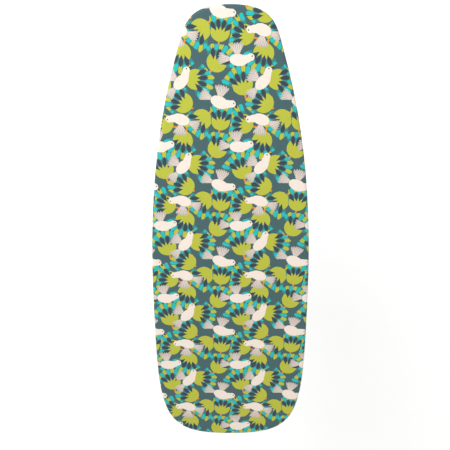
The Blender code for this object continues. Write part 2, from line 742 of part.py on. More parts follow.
def make_crossing(parent):
    """The pin that the two legs turn on where they cross, with its sleeve, washers and nuts."""
    left, right = beside(CROSSING, -PIN_HALF_LENGTH), beside(CROSSING, PIN_HALF_LENGTH)
    rod("crossing_pin", left, right, PIN_RADIUS, ZINC, parent)
    bore = PIN_RADIUS + PIN_CLEARANCE
    reach = INNER_TUBE_OFFSET - INNER_TUBE_RADIUS - GAP
    radius = PIN_RADIUS + CROSSING_SLEEVE_WALL
    make_ring("crossing_sleeve", CROSSING, -reach, reach, radius, bore, ZINC, parent)
    start = INNER_TUBE_OFFSET + INNER_TUBE_RADIUS + GAP
    for side, sign in SIDES.items():
        near, far = sign * start, sign * (start + WASHER_THICKNESS)
        name = "crossing_washer_" + side
        make_ring(name, CROSSING, near, far, WASHER_RADIUS, bore, NYLON, parent)
        make_nut("crossing_nut_" + side, CROSSING, sign, parent)


def make_outer_leg(parent):
    """The outer leg: pinned near the heel, with the front foot at its lower end."""
    bore = PIN_RADIUS + PIN_CLEARANCE
    offset, radius = OUTER_TUBE_OFFSET, OUTER_TUBE_RADIUS
    make_leg_tubes("outer", PIVOT, OUTER_DOWN, FRONT_FOOT, offset, radius, bore, parent)
    make_leg_brace("outer", OUTER_DOWN, offset, radius, parent)
    make_foot("front", FRONT_FOOT, FRONT_FOOT_LENGTH, parent)
    make_crossing(parent)


def make_inner_leg(parent):
    """The inner leg: it carries the slide bar at the top and the rear foot at its lower end."""
    bore = SLIDE_BAR_RADIUS + GAP
    offset, radius = INNER_TUBE_OFFSET, INNER_TUBE_RADIUS
    make_leg_tubes("inner", SLIDE, INNER_DOWN, REAR_FOOT, offset, radius, bore, parent)
    make_leg_brace("inner", INNER_DOWN, offset, radius, parent)
    make_foot("rear", REAR_FOOT, REAR_FOOT_LENGTH, parent)
    half = RAIL_BACK - RAIL_SHEET - SLIDE_BAR_SHORT
    rod("slide_bar", beside(SLIDE, -half), beside(SLIDE, half), SLIDE_BAR_RADIUS, ZINC, parent)


def make_carriage(parent):
    """What rides along with the slide bar: the glides in the rails, the clevis and the height rod."""
    low = PIVOT_HEIGHT - RAIL_DROP + RAIL_SHEET + GLIDE_CLEARANCE
    high = UNDER_BRACES - RAIL_SHEET - GLIDE_CLEARANCE
    back = RAIL_BACK - RAIL_SHEET - GLIDE_CLEARANCE
    start, end = SLIDE_Y - GLIDE_LENGTH / 2, SLIDE_Y + GLIDE_LENGTH / 2
    bore = SLIDE_BAR_RADIUS + PIN_CLEARANCE
    for side, sign in SIDES.items():
        near, far = sorted((sign * (RAIL_OPEN_SIDE - GLIDE_STAND_OUT), sign * back))
        glide = box("glide_" + side, (near, start, low), (far, end, high), NYLON, parent, MOULDED_ROUND)
        mouth, depth = RAIL_OPEN_SIDE - CUT_PAST, back - GLIDE_END_WALL
        drill(glide, beside(SLIDE, sign * mouth), beside(SLIDE, sign * depth), bore)
    half, tall = CLEVIS_HALF_WIDTH, CLEVIS_HALF_HEIGHT
    rear, front = SLIDE_Y - CLEVIS_REAR, SLIDE_Y + CLEVIS_FRONT
    clevis = box(
        "rod_clevis",
        (-half, rear, PIVOT_HEIGHT - tall),
        (half, front, PIVOT_HEIGHT + tall),
        PLASTIC,
        parent,
        MOULDED_ROUND,
    )
    drill_across(clevis, SLIDE, bore)
    head = Vector((0, rear + CLEVIS_SOCKET, PIVOT_HEIGHT))
    drill(clevis, Vector((0, rear - CUT_PAST, PIVOT_HEIGHT)), head, HEIGHT_ROD_RADIUS + GAP)
    tail = Vector((0, ROD_TAIL_Y, PIVOT_HEIGHT))
    rod("height_rod", tail, head - Vector((0, GAP, 0)), HEIGHT_ROD_RADIUS, ZINC, parent)
    stop_start = tail + Vector((0, ROD_STOP_FROM_TAIL, 0))
    stop_end = stop_start + Vector((0, ROD_STOP_LENGTH, 0))
    collar = rod("rod_stop", stop_start, stop_end, ROD_STOP_RADIUS, PLASTIC, parent)
    round_edges(collar, ROD_STOP_CHAMFER, 1)
    past = Vector((0, CUT_PAST, 0))
    drill(collar, stop_start - past, stop_end + past, HEIGHT_ROD_RADIUS + GAP)


def make_lever(parent):
    """The release lever: a shaft bent into an arm, its grip, and the brake block it turns."""
    corner = SHAFT_BEND_RADIUS
    path = [(-SHAFT_LEFT_END, BRAKE_Y, SHAFT_HEIGHT)]
    for i in range(SHAFT_BEND_STEPS + 1):
        a = math.radians(90 * i / SHAFT_BEND_STEPS)
        x = LEVER_OFFSET - corner + corner * math.sin(a)
        path.append((x, BRAKE_Y - corner + corner * math.cos(a), SHAFT_HEIGHT))
    end = Vector((LEVER_OFFSET, BRAKE_Y - LEVER_REACH, SHAFT_HEIGHT - LEVER_DROP))
    path.append(tuple(end))
    wire("lever_shaft", path, SHAFT_RADIUS, ZINC, parent, resolution=2)
    slope = math.atan2(LEVER_DROP, LEVER_REACH - corner)
    half, thick = GRIP_WIDTH / 2, GRIP_THICKNESS / 2
    low, high = (-half, GRIP_SOCKET - GRIP_LENGTH, -thick), (half, GRIP_SOCKET, thick)
    grip = box("lever_grip", low, high, PLASTIC, parent, GRIP_ROUND, end, slope)
    drill(grip, (0, -GAP, 0), (0, GRIP_SOCKET + CUT_PAST, 0), SHAFT_RADIUS + GAP, place=end, turn_x=slope)
    half, thick = BRAKE_BLOCK_HALF_WIDTH, BRAKE_BLOCK_THICKNESS / 2
    low, high = (-half, -thick, -SHAFT_RISE - BRAKE_BLOCK_TAIL), (half, thick, BRAKE_BLOCK_HEAD)
    tilt = math.radians(BRAKE_TILT)
    block = box("brake_block", low, high, ZINC, parent, BRAKE_BLOCK_ROUND, SHAFT, tilt)
    past = half + CUT_PAST
    drill(block, (-past, 0, 0), (past, 0, 0), SHAFT_RADIUS + GAP, place=SHAFT, turn_x=tilt)
    bore = HEIGHT_ROD_RADIUS + BRAKE_BORE_CLEARANCE
    past = thick + CUT_PAST
    drill(block, (0, -past, -SHAFT_RISE), (0, past, -SHAFT_RISE), bore, place=SHAFT, turn_x=tilt)


make_top()
make_pivot_bracket()
make_rails()
make_brake_box()
make_bearings()

outer_leg = joint_empty("outer_leg", PIVOT)
inner_leg = joint_empty("inner_leg", CROSSING, outer_leg)
carriage = joint_empty("carriage", SLIDE, inner_leg)
release_lever = joint_empty("release_lever", SHAFT)
make_outer_leg(outer_leg)
make_inner_leg(inner_leg)
make_carriage(carriage)
make_lever(release_lever)
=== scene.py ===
"""A folding ironing board with a printed cover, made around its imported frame.

The frame's solids stay where they are. Pieces that show are made here as fine surfaces, each riding on the body that
it belongs to, and every finish is a procedural material. Lengths are metres. +Y runs to the nose and +Z is up.
"""

import math
from functools import cache

import bmesh
import bpy
import numpy as np
from bpy.props import FloatProperty, FloatVectorProperty, PointerProperty
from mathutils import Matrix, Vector
from mathutils.geometry import convex_hull_2d, delaunay_2d_cdt


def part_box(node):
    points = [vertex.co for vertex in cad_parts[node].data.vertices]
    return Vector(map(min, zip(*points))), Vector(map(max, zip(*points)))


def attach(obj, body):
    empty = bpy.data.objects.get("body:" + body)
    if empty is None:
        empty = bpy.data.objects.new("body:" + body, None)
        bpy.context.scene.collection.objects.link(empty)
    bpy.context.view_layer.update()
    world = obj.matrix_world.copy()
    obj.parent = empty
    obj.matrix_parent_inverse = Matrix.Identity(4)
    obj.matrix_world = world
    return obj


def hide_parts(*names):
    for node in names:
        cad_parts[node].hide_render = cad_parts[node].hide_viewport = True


bl_info = {
    "name": "Folding Ironing Board",
    "version": (1, 0, 0),
    "blender": (4, 5, 0),
    "location": "3D View > Sidebar > Ironing Board",
    "description": "Makes the cloth, metalwork and fittings of a folding ironing board around its frame",
    "category": "Add Mesh",
}

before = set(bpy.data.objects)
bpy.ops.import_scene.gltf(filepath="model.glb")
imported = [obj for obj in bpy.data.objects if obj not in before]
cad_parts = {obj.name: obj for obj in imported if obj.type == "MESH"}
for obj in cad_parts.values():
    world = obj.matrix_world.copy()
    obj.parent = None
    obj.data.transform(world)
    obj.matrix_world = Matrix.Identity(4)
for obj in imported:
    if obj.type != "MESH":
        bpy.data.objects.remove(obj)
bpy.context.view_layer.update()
TAU = 2 * math.pi

# Points closer than this are one point.
WELD_DISTANCE = 1e-6
# Edges that bend by more than this, in degrees, look sharp: on turned pieces, and on wires and rolled steel.
SHARP, SOFT_SHARP = 32, 50
# The most of a short side that a rounded corner takes from it, so that two corners never meet.
SHORT_SIDE_SHARE = 0.48
# How far the spine that the flat top is drawn from stops short of the heel and the nose.
SPINE_HEEL, SPINE_NOSE = 0.20, 0.09

# ---------------------------------------------------------------- what the frame says

COVER_LOW, COVER_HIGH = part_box("cover")
RIM_LOW, RIM_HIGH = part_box("rim_frame")
PANEL_LOW, PANEL_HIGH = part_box("steam_panel")
PAD_LOW, PAD_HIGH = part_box("felt_pad")
NOSE_END = COVER_HIGH.y
HEEL_END = COVER_LOW.y
SIDES = {"left": -1, "right": 1}


def middle_of(node):
    low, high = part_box(node)
    return (low + high) / 2


def across_of(node):
    """The two ends and the radius of a round node that lies across the board."""
    low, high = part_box(node)
    middle = (low + high) / 2
    return (low.x, middle.y, middle.z), (high.x, middle.y, middle.z), (high.z - low.z) / 2


# ---------------------------------------------------------------- settings


def length(name, text, default, low=0.0):
    return FloatProperty(name=name, description=text, default=default, min=low, unit="LENGTH", precision=4)


def colour(name, text, default):
    return FloatVectorProperty(
        name=name, description=text, default=default, size=3, min=0, max=1, subtype="COLOR"
    )


class IronboardClothSettings(bpy.types.PropertyGroup):
    repeat_across: length("Repeat across", "Width of the print's repeat", 0.202, 0.01)
    repeat_along: length("Repeat along", "Length of the print's repeat", 0.2125, 0.01)
    thread_pitch: length("Thread pitch", "Distance between the cotton's threads", 0.0007, 0.0001)
    edge_round: length("Edge rounding", "Radius of the cover over the pad's edge", 0.0085, 0.001)
    gather_depth: length("Gather depth", "How far the gathers at the hem stand out", 0.0046)
    cloth_thickness: length("Cloth thickness", "Thickness of the cotton", 0.0006, 0.0001)
    ground: colour("Ground", "The print's ground colour", (0.045, 0.092, 0.097))
    lime: colour("Lime", "The fan flowers' heads", (0.370, 0.385, 0.036))
    aqua: colour("Aqua", "Every other outer petal", (0.012, 0.380, 0.370))
    teal: colour("Teal", "The middle petals", (0.032, 0.175, 0.160))
    navy: colour("Navy", "The dark petals", (0.030, 0.040, 0.056))
    stalk: colour("Stalk", "The fan flowers' stalks", (0.600, 0.190, 0.022))
    cream: colour("Cream", "The birds' bodies", (0.680, 0.585, 0.510))
    plume: colour("Plume", "The birds' wings and tails", (0.395, 0.345, 0.312))
    felt: colour("Felt", "The pad under the cover", (0.60, 0.59, 0.56))


class IronboardMetalSettings(bpy.types.PropertyGroup):
    frame_paint: colour("Frame paint", "Powder coat on the top's steel", (0.62, 0.63, 0.64))
    leg_paint: colour("Leg paint", "Powder coat on the legs", (0.42, 0.44, 0.46))
    zinc_steel: colour("Zinc", "Plated pins, nuts and brackets", (0.62, 0.62, 0.60))
    white_nylon: colour("Nylon", "Glides and washers", (0.80, 0.79, 0.74))
    dark_plastic: colour("Plastic", "Grip, clevis and stop", (0.025, 0.027, 0.030))
    foot_rubber: colour("Rubber", "Foot caps", (0.020, 0.020, 0.022))
    elastic_cord: colour("Elastic", "The cord in the hem", (0.80, 0.79, 0.75))
    hole_pitch: length("Hole pitch", "Distance between the panel's steam holes", 0.0125, 0.006)


class IronboardStageSettings(bpy.types.PropertyGroup):
    floor: colour("Floor", "The studio floor", (0.97, 0.97, 0.97))
    key_power: FloatProperty(name="Key power", description="Power of the main light", default=42.0, unit="POWER")
    fill_power: FloatProperty(name="Fill power", description="Power of the side light", default=4.0, unit="POWER")
    sky: FloatProperty(name="Sky", description="Strength of the even light", default=0.94)


# ---------------------------------------------------------------- mesh helpers


def put(name, points, faces, uvs=None, smooth=True):
    """A mesh object from arrays of points and faces, with one UV for each point if given."""
    mesh = bpy.data.meshes.new(name)
    loops = faces.tolist() if isinstance(faces, np.ndarray) else faces
    mesh.from_pydata(np.asarray(points, float).reshape(-1, 3).tolist(), [], loops)
    if uvs is not None:
        corners = np.empty(len(mesh.loops), np.int32)
        mesh.loops.foreach_get("vertex_index", corners)
        layer = mesh.uv_layers.new(name="cloth")
        layer.data.foreach_set("uv", np.asarray(uvs, np.float32).reshape(-1, 2)[corners].ravel())
    mesh.polygons.foreach_set("use_smooth", np.full(len(mesh.polygons), smooth))
    piece = bpy.data.objects.new(name, mesh)
    bpy.context.scene.collection.objects.link(piece)
    return piece


def grid_faces(rows, columns, along=False):
    """Quads over a grid of points, closed around its columns, and along its rows if asked."""
    r = np.arange(rows if along else rows - 1)[:, None]
    c = np.arange(columns)[None, :]
    r2, c2 = (r + 1) % rows, (c + 1) % columns
    quads = np.stack([r * columns + c, r * columns + c2, r2 * columns + c2, r2 * columns + c], axis=-1)
    return quads.reshape(-1, 4)


def close_up(piece, sharp=SHARP, outward=True):
    """Closes seams and poles, turns the faces outwards, and marks the edges that bend more than so many degrees."""
    bm = bmesh.new()
    bm.from_mesh(piece.data)
    bmesh.ops.remove_doubles(bm, verts=bm.verts, dist=WELD_DISTANCE)
    bmesh.ops.dissolve_degenerate(bm, edges=bm.edges, dist=WELD_DISTANCE / 2)
    if outward:
        bmesh.ops.recalc_face_normals(bm, faces=bm.faces)
    bm.to_mesh(piece.data)
    bm.free()
    if sharp:
        piece.data.set_sharp_from_angle(angle=math.radians(sharp))
    return piece


def finish_piece(piece, body, slot, *nodes):
    """Gives a piece its body, its material slot and finish, and the frame's nodes that it stands for."""
    piece.data.materials.clear()
    piece.data.materials.append(finish_of(slot))
    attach(piece, body)
    if nodes:
        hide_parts(*nodes)
    return piece


def unit(vector):
    vector = np.asarray(vector, float)
    return vector / np.linalg.norm(vector)


def each_unit(vectors):
    return vectors / np.linalg.norm(vectors, axis=1)[:, None]


def frame_across(direction):
    """Two unit vectors square to a direction and to each other."""
    direction = unit(direction)
    helper = np.eye(3)[0 if abs(direction[0]) < 0.9 else 1]
    first = unit(helper - direction * (helper @ direction))
    return first, np.cross(direction, first)


def around(count):
    """Angles evenly round a circle."""
    return np.arange(count) * TAU / count


def turned(name, start, axis, profile, sides=48):
    """A turned piece. Each profile point is (distance along the axis, radius), and the ring there is

    start + axis * distance + radius * (cos(angle) first + sin(angle) second).
    """
    profile = np.asarray(profile, float)
    axis = unit(axis)
    first, second = frame_across(axis)
    angle = around(sides)
    circle = np.cos(angle)[:, None] * first + np.sin(angle)[:, None] * second
    points = np.asarray(start, float) + profile[:, 0, None, None] * axis + profile[:, 1, None, None] * circle
    return close_up(put(name, points, grid_faces(len(profile), sides)))


def swept(name, path, radius, sides=12, closed=False):
    """A round wire: circles of the given radius, square to a path that has no sharp corner.

    Each circle's first arm is the last one's, with its part along the path taken off, so the wire never twists.
    """
    path = np.asarray(path, float)
    count = len(path)
    ahead = np.roll(path, -1, 0) - np.roll(path, 1, 0) if closed else np.gradient(path, axis=0)
    ahead = each_unit(ahead)
    arm = frame_across(ahead[0])[0]
    arms = np.empty_like(path)
    for i in range(count):
        arm = unit(arm - ahead[i] * (arm @ ahead[i]))
        arms[i] = arm
    other = np.cross(ahead, arms)
    angle = around(sides)
    radii = np.broadcast_to(radius, (count,))[:, None, None]
    points = path[:, None] + radii * (
        np.cos(angle)[None, :, None] * arms[:, None] + np.sin(angle)[None, :, None] * other[:, None]
    )
    faces = grid_faces(count, sides, along=closed).tolist()
    if not closed:
        faces += [list(range(sides))[::-1], list(range((count - 1) * sides, count * sides))]
    return close_up(put(name, points, faces), SOFT_SHARP)


def rounded(corners, radius, steps=5):
    """An open profile through corners, each rounded by an arc that takes less than half of a short side."""
    corners = [np.asarray(c, float) for c in corners]
    found = [corners[0]]
    for before, corner, after in zip(corners, corners[1:], corners[2:]):
        into, out = before - corner, after - corner
        reach = min(radius, *(SHORT_SIDE_SHARE * np.linalg.norm(side) for side in (into, out)))
        a, b = corner + unit(into) * reach, corner + unit(out) * reach
        t = np.linspace(0, 1, steps)[:, None]
        found += list((1 - t) ** 2 * a + 2 * t * (1 - t) * corner + t**2 * b)
    return np.array(found + [corners[-1]])


def folded(name, corners, along, thickness, bend=0.002):
    """Folded sheet: an open profile with rounded bends, thickened towards its own middle, carried along a vector.

    The inner face is profile + normal * thickness / cos(half the turn), with the normal on the middle's side.
    """
    path = rounded(corners, bend)
    square = np.cross(unit(along), each_unit(np.diff(path, axis=0)))
    joined = each_unit(np.vstack([square[:1], square[:-1] + square[1:], square[-1:]]))
    stretch = 1 / np.clip((joined * np.vstack([square[:1], square])).sum(1), 0.5, 1)
    side = np.sign(((path.mean(0) - path) * joined).sum())
    inner = path + joined * (side * thickness * stretch)[:, None]
    section = np.vstack([path, inner[::-1]])
    points = section[None] + np.array([0.0, 1.0])[:, None, None] * np.asarray(along, float)
    count = len(section)
    ends = [list(range(count))[::-1], list(range(count, 2 * count))]
    piece = put(name, points, grid_faces(2, count).tolist() + ends)
    edges = piece.modifiers.new("edges", "BEVEL")
    edges.width = min(0.0003, thickness / 4)
    edges.segments = 2
    edges.limit_method = "ANGLE"
    edges.angle_limit = math.radians(SOFT_SHARP)
    return close_up(piece)


def between(start, end):
    """A start point, the way to an end point, and how far it is."""
    axis = np.asarray(end, float) - np.asarray(start, float)
    return start, axis, np.linalg.norm(axis)


def rod(name, start, end, radius, chamfer=0.0006, sides=48):
    """A solid round bar with chamfered ends."""
    start, axis, size = between(start, end)
    profile = [(0, 0), (0, radius - chamfer), (chamfer, radius)]
    profile += [(size - chamfer, radius), (size, radius - chamfer), (size, 0)]
    return turned(name, start, axis, profile, sides)


def ring(name, start, end, radius, bore, chamfer=0.0006):
    """A washer, spacer or sleeve with a hole through it."""
    start, axis, size = between(start, end)
    profile = [(0, bore), (0, radius - chamfer), (chamfer, radius), (size - chamfer, radius)]
    profile += [(size, radius - chamfer), (size, bore), (0, bore)]
    return turned(name, start, axis, profile)


def open_tube(name, foot, top, radius, wall=0.0012, deep=0.030):
    """A leg's tube: closed inside its foot bar, and open at the top with its wall showing."""
    foot, axis, size = between(foot, top)
    turn = np.linspace(0, math.pi, 5)
    lip = np.column_stack([size - wall / 2 + np.sin(turn) * wall / 2, radius - wall / 2 + np.cos(turn) * wall / 2])
    profile = np.vstack([[(0, 0), (0, radius)], lip, [(size - deep, radius - wall), (size - deep, 0)]])
    return turned(name, foot, axis, profile)


def hex_nut(name, start, axis, size, corner, cut=0.0009, dome_height=0.0016):
    """A six-sided nut with a domed end: ring radius = min(flats, chamfer circle), then a quarter-circle dome.

    The flats' radius at an angle is corner * cos(30) / cos(angle within its sixth - 30).
    """
    axis = np.asarray(axis, float)
    first, second = frame_across(axis)
    angle = around(72)
    flats = corner * math.cos(math.pi / 6) / np.cos(angle % (math.pi / 3) - math.pi / 6)
    # (distance along the axis, radius as a share of the corner's)
    heights = [(0, 0), (0, 0.90), (cut, 1.02), (size - cut, 1.02), (size, 0.90), (size, 0.62)]
    heights += [(size + dome_height * math.sin(t), 0.58 * math.cos(t)) for t in np.linspace(0, math.pi / 2, 7)]
    heights = np.array(heights)
    reach = np.minimum(flats[None], corner * heights[:, 1:2])
    circle = np.cos(angle)[:, None] * first + np.sin(angle)[:, None] * second
    points = np.asarray(start, float) + heights[:, 0, None, None] * axis + reach[..., None] * circle
    return close_up(put(name, points, grid_faces(len(heights), len(angle))), 25)


def lofted(name, start, axis, across, stations, power, sides):
    """A moulded bar: sections |u / width| ** power + |v / thickness| ** power = 1, set along an axis.

    Each station is (distance, half width, half thickness).
    """
    stations = np.asarray(stations, float)
    axis, across = unit(axis), np.asarray(across, float)
    up = np.cross(axis, across)
    u, v = (np.sign(s) * np.abs(s) ** (2 / power) for s in (np.cos(around(sides)), np.sin(around(sides))))
    points = (
        np.asarray(start, float)
        + stations[:, 0, None, None] * axis
        + (stations[:, 1, None] * u)[..., None] * across
        + (stations[:, 2, None] * v)[..., None] * up
    )
    return close_up(put(name, points, grid_faces(len(stations), sides)), 40)


def weld_bead(name, middle, branch, bar, branch_radius, bar_radius, bead=0.0015):
    """The bead where a round branch meets a round bar square to it.

    Its path is middle + r cos(a) bar + r sin(a) side + sqrt(R ** 2 - (r sin(a)) ** 2) branch, with a rippled radius.
    """
    branch, bar = np.asarray(branch, float), np.asarray(bar, float)
    side = np.cross(branch, bar)
    angle = around(96)
    low = branch_radius * np.sin(angle)
    path = (
        np.asarray(middle, float)
        + (branch_radius * np.cos(angle))[:, None] * bar
        + low[:, None] * side
        + np.sqrt(bar_radius**2 - np.minimum(low**2, bar_radius**2 * 0.98))[:, None] * branch
    )
    return swept(name, path, bead * (1 + 0.16 * np.sin(17 * angle)), sides=10, closed=True)


# ---------------------------------------------------------------- the top's outline


def edge_of_cover(half_count):
    """The cover's outline, anticlockwise from the nose, the same on the left and the right.

    The frame's outline points are joined by a cubic that passes through each of them, spaced by length along it.
    """
    co = np.array([v.co[:2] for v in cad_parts["cover"].data.vertices])
    hull = co[convex_hull_2d([Vector(p) for p in co])]
    right = hull[hull[:, 0] > 1e-4]
    right = right[np.argsort(right[:, 1])]
    points = np.vstack([[0, HEEL_END], right, [0, NOSE_END]])
    other_side = points * [-1, 1]
    chain = np.vstack([other_side[2:0:-1], points, other_side[-2:-4:-1]])
    steps = np.linalg.norm(np.diff(chain, axis=0), axis=1)
    at = np.concatenate([[0], np.cumsum(steps)])
    slope = (chain[2:] - chain[:-2]) / (at[2:] - at[:-2])[:, None]
    chain, at = chain[1:-1], at[1:-1]
    wanted = np.linspace(at[1], at[-2], half_count + 1)
    i = np.clip(np.searchsorted(at, wanted, side="right") - 1, 0, len(at) - 2)
    gap = (at[i + 1] - at[i])[:, None]
    t = (wanted - at[i])[:, None] / gap
    half = (
        (2 * t**3 - 3 * t**2 + 1) * chain[i]
        + (t**3 - 2 * t**2 + t) * gap * slope[i]
        + (3 * t**2 - 2 * t**3) * chain[i + 1]
        + (t**3 - t**2) * gap * slope[i + 1]
    )
    half[0, 0] = half[-1, 0] = 0.0
    left = half[1:-1] * [-1, 1]
    # From the nose, down the left, round the heel and up the right.
    return np.vstack([half[-1:], left[::-1], half[:1], half[1:-1]])


def outward_of(edge):
    """Unit vectors square to a closed outline, pointing out of it."""
    ahead = each_unit(np.roll(edge, -1, 0) - np.roll(edge, 1, 0))
    return np.stack([ahead[:, 1], -ahead[:, 0]], axis=1)


def inset_edge(half_count, inset):
    """The cover's outline, drawn in by an inset."""
    edge = edge_of_cover(half_count)
    return edge - outward_of(edge) * inset


def half_width_at(y, inset):
    """Half the top's width at places along it, inside an inset."""
    edge = inset_edge(400, inset)
    right = edge[edge[:, 0] >= 0]
    order = np.argsort(right[:, 1])
    return np.interp(y, right[order, 1], right[order, 0])


def spine_of(edge):
    """The point on the top's middle line that each point of an outline is drawn from."""
    return np.column_stack([np.zeros(len(edge)), np.clip(edge[:, 1], HEEL_END + SPINE_HEEL, NOSE_END - SPINE_NOSE)])


def level(flat, height):
    """Points across and along, at a height or at heights of their own."""
    return np.column_stack([flat, np.broadcast_to(height, len(flat))])


def waves(x, y, seed, count, shortest, longest):
    """A gentle uneven field: the mean of sines with seeded directions, lengths and phases."""
    draw = np.random.default_rng(seed)
    total = np.zeros_like(x)
    for _ in range(count):
        way, wave, phase = draw.uniform(0, TAU), draw.uniform(shortest, longest), draw.uniform(0, TAU)
        total += np.sin(TAU * (x * math.cos(way) + y * math.sin(way)) / wave + phase)
    return total / count


# ---------------------------------------------------------------- shader helpers


class Number:
    """A number made by a node. Python's own signs carry on from it, with & for both masks and | for either."""

    def __init__(self, wiring, socket):
        self.wiring = wiring
        self.socket = socket

    def __add__(self, other):
        return self.wiring.math("ADD", self, other)

    def __sub__(self, other):
        return self.wiring.math("SUBTRACT", self, other)

    def __rsub__(self, other):
        return self.wiring.math("SUBTRACT", other, self)

    def __mul__(self, other):
        return self.wiring.math("MULTIPLY", self, other)

    def __truediv__(self, other):
        return self.wiring.math("DIVIDE", self, other)

    def __rtruediv__(self, other):
        return self.wiring.math("DIVIDE", other, self)

    def __pow__(self, other):
        return self.wiring.math("POWER", self, other)

    def __lt__(self, other):
        return self.wiring.math("LESS_THAN", self, other)

    def __gt__(self, other):
        return self.wiring.math("GREATER_THAN", self, other)

    def __and__(self, other):
        return self.wiring.math("MULTIPLY", self, other)

    def __or__(self, other):
        return self.wiring.math("MAXIMUM", self, other)

    def __abs__(self):
        return self.wiring.math("ABSOLUTE", self)


class Wiring:
    """Short calls that add nodes to a node tree. A value is a Number, a socket, a plain number or a tuple."""

    def __init__(self, tree):
        self.tree = tree

    def node(self, kind, **settings):
        made = self.tree.nodes.new(kind)
        for name, value in settings.items():
            setattr(made, name, value)
        return made

    def number(self, socket):
        return Number(self, socket)

    def feed(self, socket, value):
        if isinstance(value, Number):
            value = value.socket
        if isinstance(value, bpy.types.NodeSocket):
            self.tree.links.new(value, socket)
        else:
            socket.default_value = value

    def feed_all(self, made, values):
        for socket, value in zip(made.inputs, values):
            self.feed(socket, value)
        return made

    def math(self, operation, a, b=0.0):
        return self.number(self.feed_all(self.node("ShaderNodeMath", operation=operation), (a, b)).outputs[0])

    def vector(self, operation, a, b=(0, 0, 0), c=(0, 0, 0)):
        return self.feed_all(self.node("ShaderNodeVectorMath", operation=operation), (a, b, c)).outputs[0]

    def size(self, vector):
        made = self.feed_all(self.node("ShaderNodeVectorMath", operation="LENGTH"), (vector,))
        return self.number(made.outputs["Value"])

    def scaled(self, vector, by):
        made = self.feed_all(self.node("ShaderNodeVectorMath", operation="SCALE"), (vector,))
        self.feed(made.inputs["Scale"], by)
        return made.outputs[0]

    def spun(self, vector, angle):
        """A vector turned about Z."""
        made = self.node("ShaderNodeVectorRotate", rotation_type="Z_AXIS")
        self.feed(made.inputs["Vector"], vector)
        self.feed(made.inputs["Angle"], angle)
        return made.outputs[0]

    def mix(self, factor, a, b, **settings):
        """Colour a where the factor is 0, b where it is 1."""
        made = self.node("ShaderNodeMix", data_type="RGBA", **settings)
        self.feed(made.inputs["Factor"], factor)
        self.feed(made.inputs[6], (*a, 1) if isinstance(a, tuple) else a)
        self.feed(made.inputs[7], (*b, 1) if isinstance(b, tuple) else b)
        return made.outputs[2]

    def choose(self, factor, a, b):
        """Vector a where the factor is 0, b where it is 1."""
        made = self.node("ShaderNodeMix", data_type="VECTOR")
        self.feed(made.inputs["Factor"], factor)
        self.feed(made.inputs[4], a)
        self.feed(made.inputs[5], b)
        return made.outputs[1]

    def split(self, vector):
        made = self.feed_all(self.node("ShaderNodeSeparateXYZ"), (vector,))
        return self.number(made.outputs[0]), self.number(made.outputs[1])

    def join(self, x, y, z=0.0):
        return self.feed_all(self.node("ShaderNodeCombineXYZ"), (x, y, z)).outputs[0]

    def noise(self, vector, scale, detail=2.0, roughness=0.5):
        made = self.node("ShaderNodeTexNoise")
        self.feed(made.inputs["Vector"], vector)
        self.feed(made.inputs["Scale"], scale)
        made.inputs["Detail"].default_value = detail
        made.inputs["Roughness"].default_value = roughness
        return self.number(made.outputs["Fac"])

    def bump(self, height, distance, strength):
        made = self.node("ShaderNodeBump")
        self.feed(made.inputs["Height"], height)
        made.inputs["Distance"].default_value = distance
        made.inputs["Strength"].default_value = strength
        return made.outputs[0]

    def use(self, group, **inputs):
        made = self.node("ShaderNodeGroup")
        made.node_tree = group
        for name, value in inputs.items():
            self.feed(made.inputs[name], value)
        return made.outputs


SOCKETS = {"vector": "NodeSocketVector", "value": "NodeSocketFloat", "colour": "NodeSocketColor"}


def new_group(name, inputs, outputs):
    """An empty shader group. Returns its tree's wiring, its input sockets and its output sockets."""
    tree = bpy.data.node_groups.new(name, "ShaderNodeTree")
    for way, sockets in (("INPUT", inputs), ("OUTPUT", outputs)):
        for label, kind in sockets.items():
            tree.interface.new_socket(name=label, in_out=way, socket_type=SOCKETS[kind])
    wiring = Wiring(tree)
    return wiring, wiring.node("NodeGroupInput").outputs, wiring.node("NodeGroupOutput").inputs


def new_material(name):
    """A material, its wiring and its Principled shader's inputs."""
    material = bpy.data.materials.new(name)
    material.use_nodes = True
    return material, Wiring(material.node_tree), material.node_tree.nodes["Principled BSDF"].inputs


# ---------------------------------------------------------------- the print

# A motif is drawn in metres, growing up +Y from its foot. Its place on the cloth is this far up it.
MOTIF_MIDDLE = 0.032


@cache
def place_group():
    """Turns cloth coordinates into a motif's own, and keeps the nearest motif's so far.

    The offset from the motif's place is wrapped to within half a repeat, then turned and scaled.
    """
    w, given, out = new_group(
        "print_place",
        {
            "Cloth": "vector",
            "Place": "vector",
            "Turn": "value",
            "Size": "value",
            "Repeat": "vector",
            "Best": "vector",
            "Distance": "value",
        },
        {"Best": "vector", "Distance": "value"},
    )
    half, back = w.scaled(given["Repeat"], 0.5), w.scaled(given["Repeat"], -0.5)
    wrapped = w.vector("WRAP", w.vector("SUBTRACT", given["Cloth"], given["Place"]), half, back)
    turned_back = w.spun(wrapped, w.number(given["Turn"]) * -1.0)
    sized = w.scaled(turned_back, 1.0 / w.number(given["Size"]))
    reach = w.size(sized)
    local = w.vector("ADD", sized, (0, MOTIF_MIDDLE, 0))
    w.feed(out["Best"], w.choose(reach < given["Distance"], given["Best"], local))
    w.feed(out["Distance"], w.math("MINIMUM", reach, given["Distance"]))
    return w.tree


def polar(w, local, centre):
    """Distance and angle from a centre, with angle 0 along +Y and turning towards +X."""
    x, y = w.split(w.vector("SUBTRACT", local, (*centre, 0)))
    return w.math("SQRT", x * x + y * y), w.math("ARCTAN2", x, y)


def sector(w, angle, count, span, shift=0.5):
    """Which of the equal sectors of a fan a point is in, and how far it is from its middle, 0 to 1."""
    phase = angle * (count / span) + shift
    return w.math("FLOOR", phase), abs(w.math("FRACT", phase) * 2.0 - 1.0)


